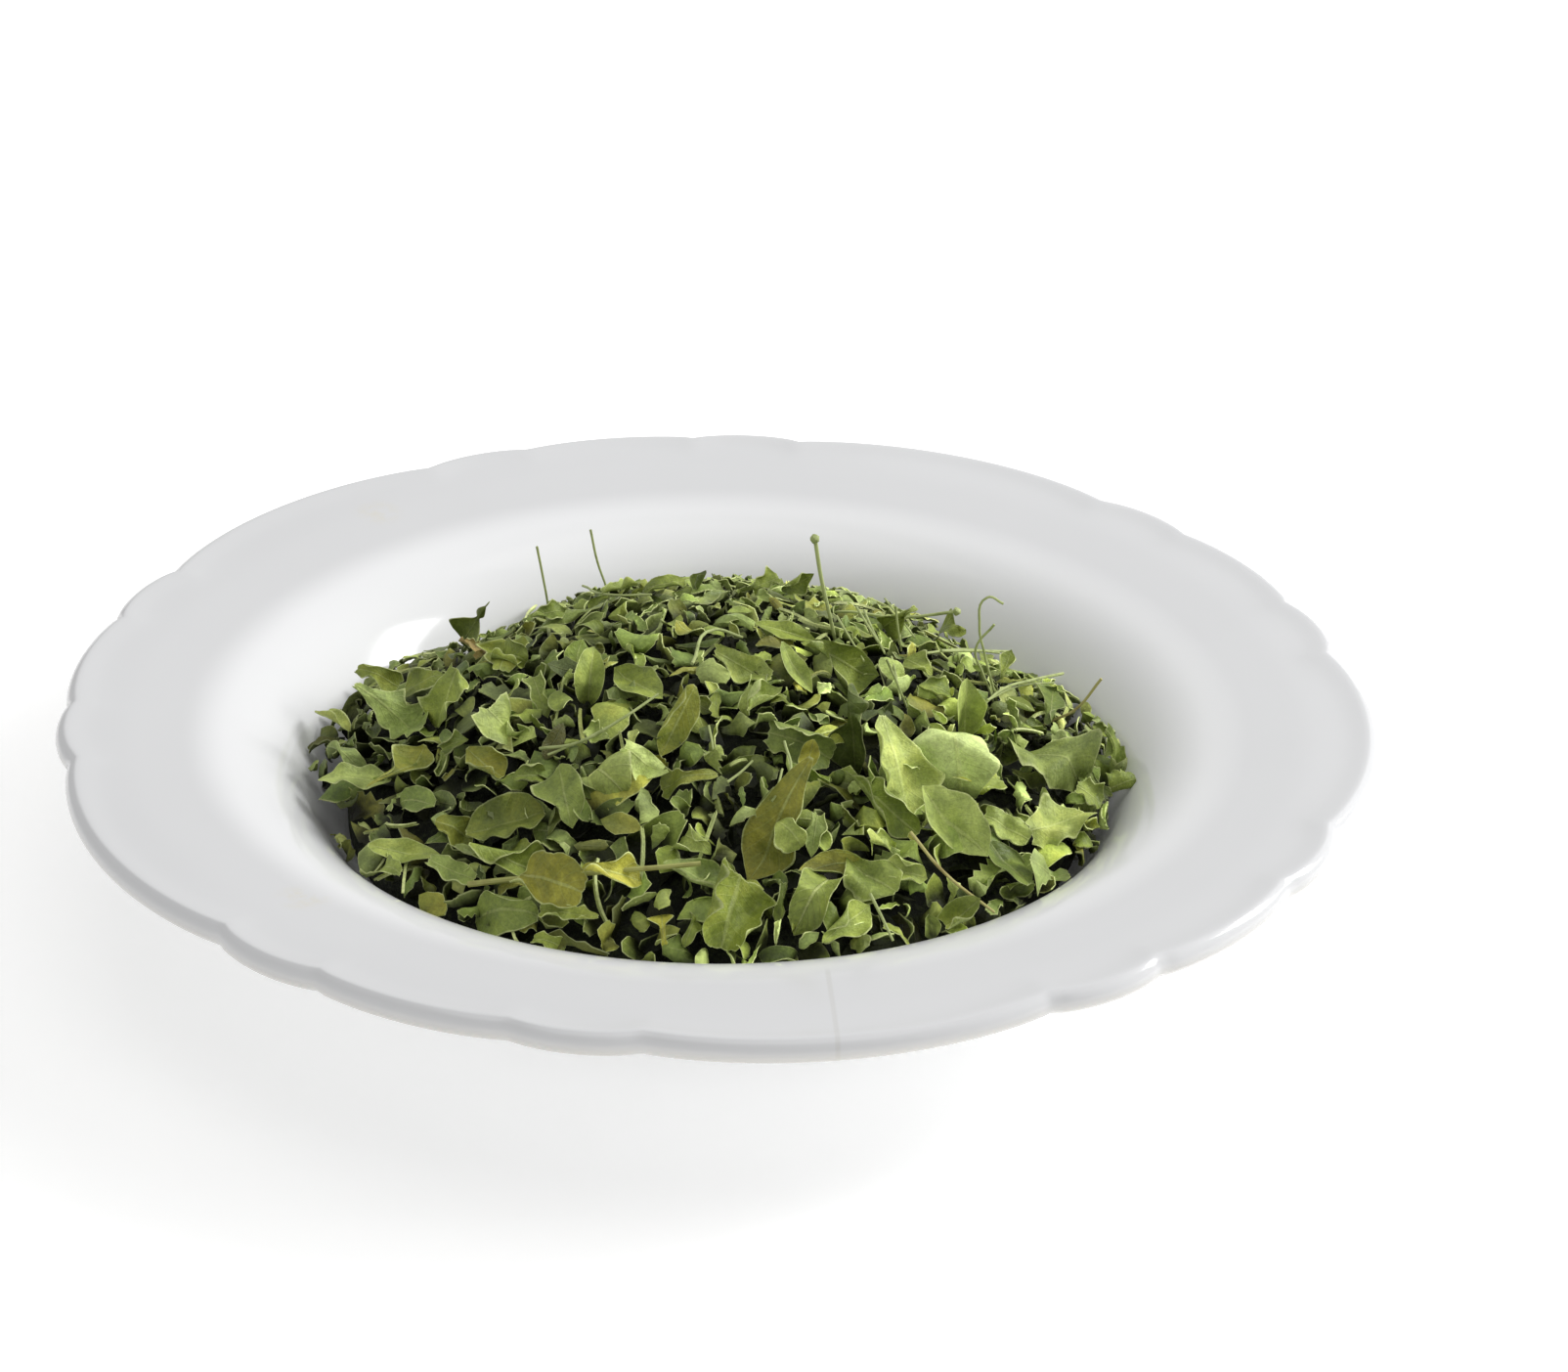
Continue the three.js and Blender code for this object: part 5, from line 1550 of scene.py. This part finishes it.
@dataclass
class LeafMound:
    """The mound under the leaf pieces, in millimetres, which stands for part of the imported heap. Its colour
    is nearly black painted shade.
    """

    plate: ScallopedPlate
    heap: LeafHeap
    gap: float = 0.4
    thinnest: float = 0.3
    floor_band: float = 1.0
    lump_height: float = 0.7
    inset: float = 5.5
    rings: int = 36
    steps: int = 120

    def build(self, material: bpy.types.Material) -> None:
        """Spins the mound's section round, roughens its top and presses the heap's hollows into it.

        Args:
            material: The mound's painted shade material.
        """
        radii = np.linspace(0, self.heap.radius - self.inset, self.rings)
        floor = self.plate.top_at(radii) + self.gap
        top = np.maximum(self.heap.dome(radii) - self.heap.mound_depth, floor + self.thinnest)
        outline = np.vstack([np.stack([radii, floor], axis=1), np.stack([radii, top], axis=1)[::-1]])
        piece = spin_section("leaf_mound", outline, self.steps)
        points = read_points(piece.data) / MM
        x, y, z = points.T
        radius = np.hypot(x, y)
        lowest = self.plate.top_at(radius) + self.gap
        lumps = np.sin(x * 0.9 + 1.3) * np.sin(y * 0.8)
        lumps += 0.6 * np.sin(x * 1.9 + y * 1.3) * np.sin(y * 2.1 - x * 0.7)
        lowered = z - (self.heap.dome(radius) - self.heap.target(x, y)) + self.lump_height * lumps
        points[:, 2] = np.where(z > lowest + self.floor_band, np.maximum(lowered, lowest + self.thinnest), z)
        write_points(piece.data, points * MM)
        finish_piece(piece, material, ("leaf_heap",), sharp=60)


# Stalks and twig


@dataclass(frozen=True)
class Stalk:
    """A thin dry leaf stalk through points in millimetres, from its free end to its root."""

    name: str
    slot: str
    radius: float
    points: tuple[Point, ...]
    knob: float = 0.0
    nodes: tuple[str, ...] = ()
    taper: float = 0.2
    dent: float = 0.16

    def build(self, material: bpy.types.Material) -> None:
        """Draws the stalk as a curve with a round section, thinner at its root, and makes it a mesh.

        Args:
            material: The stalk's material.
        """
        deselect_all()
        bpy.ops.curve.primitive_bezier_curve_add()
        piece = bpy.context.object
        piece.name = self.name
        curve = piece.data
        curve.bevel_depth = self.radius * MM
        curve.bevel_resolution = 2
        curve.resolution_u = 6
        curve.use_fill_caps = True
        spline = curve.splines[0]
        spline.bezier_points.add(len(self.points) - 2)
        for number, (knot, place) in enumerate(zip(spline.bezier_points, self.points)):
            knot.co = Vector(place) * MM
            knot.handle_left_type = "AUTO"
            knot.handle_right_type = "AUTO"
            knot.radius = 1.0 - self.taper * number / (len(self.points) - 1)
        bpy.ops.object.convert(target="MESH")
        piece = bpy.context.object
        if self.knob:
            self.add_knob(piece)
        piece.name = self.name
        finish_piece(piece, material, self.nodes)

    def add_knob(self, piece: bpy.types.Object) -> None:
        """Adds the small swelling at the free end, where the stalk broke from its node."""
        bpy.ops.mesh.primitive_uv_sphere_add(
            segments=14, ring_count=9, radius=self.knob * MM, location=Vector(self.points[0]) * MM
        )
        knob = bpy.context.object
        bpy.ops.object.transform_apply(location=True, rotation=True, scale=True)
        points = read_points(knob.data)
        middle = np.array(self.points[0]) * MM
        away = points - middle
        dents = 1 + self.dent * np.sin(away[:, 0] / MM * 5) * np.cos(away[:, 2] / MM * 6)
        write_points(knob.data, middle + away * dents[:, None])
        select_only(piece)
        knob.select_set(True)
        bpy.ops.object.join()


STALKS = (
    Stalk("stalk_far_left", STALK_PALE, 0.24,
          ((-33.6, 27.1, 49.4), (-32.6, 27.1, 43.4), (-31.8, 27.2, 38.0), (-31.5, 27.2, 34.4))),
    Stalk("stalk_left_tall", STALK_PALE, 0.24,
          ((-23.9, 30.4, 51.4), (-22.7, 30.4, 45.0), (-21.0, 30.4, 39.5), (-20.1, 30.4, 36.0))),
    Stalk("stalk_long_middle", STALK_PALE, 0.3,
          ((-30.0, -29.0, 37.4), (-22.9, -32.0, 40.4), (-15.9, -29.7, 43.7), (-9.6, -24.6, 46.1))),
    Stalk("stalk_pale_bent", STALK_PALE, 0.32, ((-4, -15.4, 47.4), (-0.4, -2.1, 47.5), (4.6, -0.9, 45.4))),
    Stalk("stalk_thick", STALK_PALE, 0.38,
          ((17.2, 7.8, 60.9), (18.4, 7.8, 53.4), (19.9, 7.8, 46.6), (21.1, 7.8, 41.1), (21.8, 7.8, 37)),
          knob=0.85),
    Stalk("stalk_long_knob", STALK_PALE, 0.32,
          ((43.6, 22.3, 39.8), (32.8, 22.3, 38.4), (22.3, 22.3, 39.4), (18.0, 22.3, 38.4)), knob=0.75),
    Stalk("stalk_fork_tall", STALK_PALE, 0.25,
          ((51.1, 6.4, 49.3), (48.2, 6.4, 50.5), (47.0, 6.4, 44.7), (48.0, 6.4, 39.6), (50.1, 6.4, 31.7),
           (50.9, 6.4, 29.0))),
    Stalk("stalk_fork_short", STALK_PALE, 0.25,
          ((49.6, 5.3, 45.7), (46.4, 5.3, 40.6), (47.8, 5.3, 36.0), (49.4, 5.3, 31.9), (50.3, 5.3, 29.1))),
    Stalk("stalk_pale_thick", STALK_PALE, 0.3,
          ((63.7, 24.6, 26.2), (56.8, 12.1, 31.0), (51.2, 2.1, 34.2), (47.6, -4.0, 34.2))),
    Stalk("stalk_brown", STALK_BROWN, 0.28,
          ((69.3, 5.5, 35.0), (64.7, 5.5, 28.5), (60.4, 5.5, 26.1), (57.4, 5.6, 24.0))),
    Stalk("stalk_hooked", STALK_PALE, 0.25, ((12.3, -35.7, 43.1), (13.4, -42.1, 40.5), (10.3, -47.3, 37.7))),
)


LOOSE_STALKS = (
    Stalk("left_lying", STALK_PALE, 0.24, ((-26, 41.2, 34.7), (-18.2, 21.2, 42.6), (-12.3, 20.3, 43.3))),
    Stalk("crossing_first", STALK_PALE, 0.24, ((25.1, 18.4, 42.3), (27.4, 9.0, 42.6), (29.9, 2.6, 41.3))),
    Stalk("crossing_second", STALK_PALE, 0.22, ((31.9, 9.6, 46.9), (32.5, 9.6, 42.4), (33.2, 9.6, 37.9))),
    Stalk("leaning_down", STALK_PALE, 0.24, ((30.0, -11.8, 47.0), (32.1, -11.8, 42.0), (33.9, -11.8, 37.4))),
    Stalk("level_pale", STALK_PALE, 0.28, ((40.2, 4.8, 40.5), (47.3, 17.5, 34.2), (54.3, 33.8, 26))),
    Stalk("brown_near", STALK_BROWN, 0.3, ((33.8, -49.2, 33.3), (39.6, -53.6, 28.0), (48.2, -56.2, 21.9))),
    Stalk("near_short", STALK_PALE, 0.28, ((27.0, -61.1, 28.0), (29.0, -63.8, 25.1), (30.9, -66.1, 21.9))),
    Stalk("far_right_first", STALK_PALE, 0.22, ((21.4, 12.6, 43.3), (23.5, 4.3, 43.5), (26.2, -4.3, 42.8))),
    Stalk("far_right_second", STALK_PALE, 0.24, ((26.5, 20.4, 40.7), (28.0, 9.5, 42.0), (30.0, 0.8, 41.8))),
    Stalk("far_right_third", STALK_PALE, 0.22, ((31.2, 0.1, 41.5), (32.0, -7.3, 40.9), (32.6, -13.8, 40.0))),
    Stalk("far_right_fourth", STALK_PALE, 0.2, ((30.7, 38.1, 34.5), (33.2, 22.2, 38.3), (35.7, 12.7, 39.1))),
    Stalk("far_right_fifth", STALK_PALE, 0.25, ((37.7, 6.8, 39.0), (44.6, 16.1, 35.2), (51.7, 23.9, 30.6))),
    Stalk("right_crossing", STALK_PALE, 0.22, ((48.4, -3.0, 34.7), (54.3, 8.5, 31.6), (61.9, 21.5, 25.9))),
    Stalk("middle_slanting", STALK_PALE, 0.25, ((2.7, -41.0, 37.9), (4.8, -38.9, 38.6), (6.9, -36.2, 39.5))),
    Stalk("middle_upright_stalk", STALK_PALE, 0.22,
          ((-0.8, -28.7, 42.2), (-0.2, -31.9, 41.2), (0.2, -34.9, 40.2))),
    Stalk("left_slanting", STALK_PALE, 0.24,
          ((-28.5, -31.3, 37.4), (-23.5, -29.9, 39.1), (-17.2, -26.7, 41.3))),
    Stalk("olive_lying", STALK_PALE, 0.22, ((12.0, -37.3, 38.6), (11.2, -41.3, 37.2), (9.2, -46.0, 35.4))),
)


@dataclass
class LeafyTwig:
    """The twig near the front, with its two yellow-green leaves, in millimetres."""

    stem: Stalk = Stalk(
        "leafy_twig", YELLOW, 0.55,
        ((-40.7, -54.4, 24.8), (-33.7, -56.5, 27.0), (-26.3, -58.3, 28.9), (-15.8, -59.6, 30.8),
         (-5.8, -59.6, 31.9), (-1.4, -59.1, 32.2)),
    )
    leaves: tuple[LargeLeaf, ...] = (
        leaf("twig_leaf_green", YELLOW, TORN, (-26.6, -60.2, 29.3), (-22, 38, -8), (12.5, 9.4), (25, 20, 1.1),
             (1.0, 0.62), creases=((60, -0.15, 0.5), (140, 0.12, -0.4))),
        leaf("twig_leaf_yellow", YELLOW, BLADE, (-15.6, -61.2, 31.4), (-4, 42, -5), (11, 6), (30, 60, 0.5),
             (1.2, 0.78), fold=0.4),
    )

    def build(
        self,
        patterns: dict[Cut, LeafPattern],
        guard: ViewGuard,
        leaf_material: bpy.types.Material,
        stem_material: bpy.types.Material,
    ) -> None:
        """Builds the stem and the two leaves, and keeps their view clear.

        Args:
            patterns: The finely modelled leaf shapes.
            guard: What keeps the view of the large pieces clear.
            leaf_material: The leaves' material.
            stem_material: The stem's material.
        """
        guard.keep(smooth_line(list(self.stem.points), GUARD_STEPS))
        replace(self.stem, name="twig_stem", nodes=("leafy_twig",)).build(stem_material)
        batch = LeafBatch()
        for one in self.leaves:
            batch.add_large(one, patterns, guard)
        finish_piece(batch.build("twig_leaves"), leaf_material, ("leafy_twig",))


# Room and light


@dataclass
class Studio:
    """The plain pale floor and the soft light, in metres."""

    floor_size: float = 6.0
    floor_colour: Colour = (0.93, 0.93, 0.925)
    floor_glow: float = 0.34
    world_colour: Colour = (1.0, 1.0, 1.0)
    world_strength: float = 0.53
    window_place: Point = (0.8, 0.28, 0.53)
    window_size: tuple[float, float] = (0.26, 0.37)
    window_power: float = 4.8
    side_place: Point = (0.9, 0.315, 0.62)
    side_size: float = 0.9
    side_power: float = 5.8
    ceiling_height: float = 1.2
    ceiling_size: float = 1.0
    ceiling_power: float = 2.3

    def build(self) -> None:
        """Lays the floor, hangs the lights and sets the surroundings."""
        self.lay_floor()
        self.hang_light("window_light", self.window_place, self.window_size, self.window_power)
        side = self.hang_light("side_light", self.side_place, (self.side_size,) * 2, self.side_power)
        side.visible_glossy = False
        over = (0.0, 0.0, self.ceiling_height)
        self.hang_light("ceiling_light", over, (self.ceiling_size,) * 2, self.ceiling_power)
        world = bpy.data.worlds.new("pale_surroundings")
        world.use_nodes = True
        background = world.node_tree.nodes["Background"]
        background.inputs["Color"].default_value = (*self.world_colour, 1.0)
        background.inputs["Strength"].default_value = self.world_strength
        bpy.context.scene.world = world
        bpy.context.scene.view_settings.view_transform = "Standard"

    def lay_floor(self) -> None:
        """Makes the floor, which isn't part of the object."""
        deselect_all()
        bpy.ops.mesh.primitive_plane_add(size=self.floor_size)
        floor = bpy.context.object
        floor.name = "pale_floor"
        sheet = NodeSheet("pale_floor")
        sheet.set_surface(Base_Color=(*self.floor_colour, 1.0), Roughness=0.9)
        sheet.set_surface(Emission_Color=(*self.floor_colour, 1.0), Emission_Strength=self.floor_glow)
        floor.data.materials.append(sheet.material)

    @staticmethod
    def hang_light(name: str, place: Point, size: tuple[float, float], power: float) -> bpy.types.Object:
        """Hangs a soft rectangular light that points at the plate.

        Args:
            name: The light's name.
            place: Where it hangs.
            size: Its width and height.
            power: Its power in watts.

        Returns:
            The light.
        """
        data = bpy.data.lights.new(name, "AREA")
        data.shape = "RECTANGLE"
        data.size, data.size_y = size
        data.energy = power
        light = bpy.data.objects.new(name, data)
        light.location = place
        light.rotation_euler = (-Vector(place)).to_track_quat("-Z", "Y").to_euler()
        bpy.context.scene.collection.objects.link(light)
        return light


def main() -> None:
    """Builds the plate, the heap and what lies on it."""
    logging.basicConfig(level=logging.INFO, format="%(name)s: %(message)s")
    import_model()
    camera = PhotoCamera()
    camera.build()
    Studio().build()

    plate = ScallopedPlate()
    plate.build(PorcelainFinish().make())

    dried_leaf = LeafFinish().make()
    pale_stalk = StalkFinish("pale_stalk", (0.4, 0.46, 0.18), (0.22, 0.27, 0.08)).make()
    twig_stem = StalkFinish("twig_stem", (0.37, 0.38, 0.11), (0.27, 0.25, 0.07)).make()
    brown_stalk = StalkFinish("brown_stalk", (0.46, 0.42, 0.15), (0.32, 0.26, 0.09)).make()
    coarse = {
        cut: [LeafPattern(cut, rows=8, columns=6, seed=10 * number + kind, ragged=0.1) for kind in range(3)]
        for number, cut in enumerate(Cut)
    }
    fine = {
        cut: LeafPattern(cut, rows=30, columns=22, seed=240 + number, ragged=0.06)
        for number, cut in enumerate(Cut)
    }

    guard = ViewGuard(camera)
    for one in LARGE_LEAVES:
        batch = LeafBatch()
        batch.add_large(one, fine, guard)
        finish_piece(batch.build(one.name.replace("leaf_", "dried_leaf_")), dried_leaf, (one.name,))

    loose = {one.slot: LeafBatch() for one in LOOSE_LEAVES}
    for one in LOOSE_LEAVES:
        loose[one.slot].add_large(one, fine, guard)
    for slot, batch in loose.items():
        finish_piece(batch.build("loose_" + slot.value), dried_leaf, ("leaf_heap",))

    LeafyTwig().build(fine, guard, dried_leaf, twig_stem)
    for one in (*STALKS, *LOOSE_STALKS):
        guard.keep(smooth_line(list(one.points[:-1]), GUARD_STEPS))
        material = brown_stalk if one.slot == STALK_BROWN else pale_stalk
        node = one.name if one in STALKS else "leaf_heap"
        replace(one, name="dry_" + one.name, nodes=(node,)).build(material)

    heap = LeafHeap(plate, guard)
    LeafMound(plate, heap).build(MoundFinish().make())
    heap.build(coarse, dried_leaf)


if __name__ == "__main__":
    main()
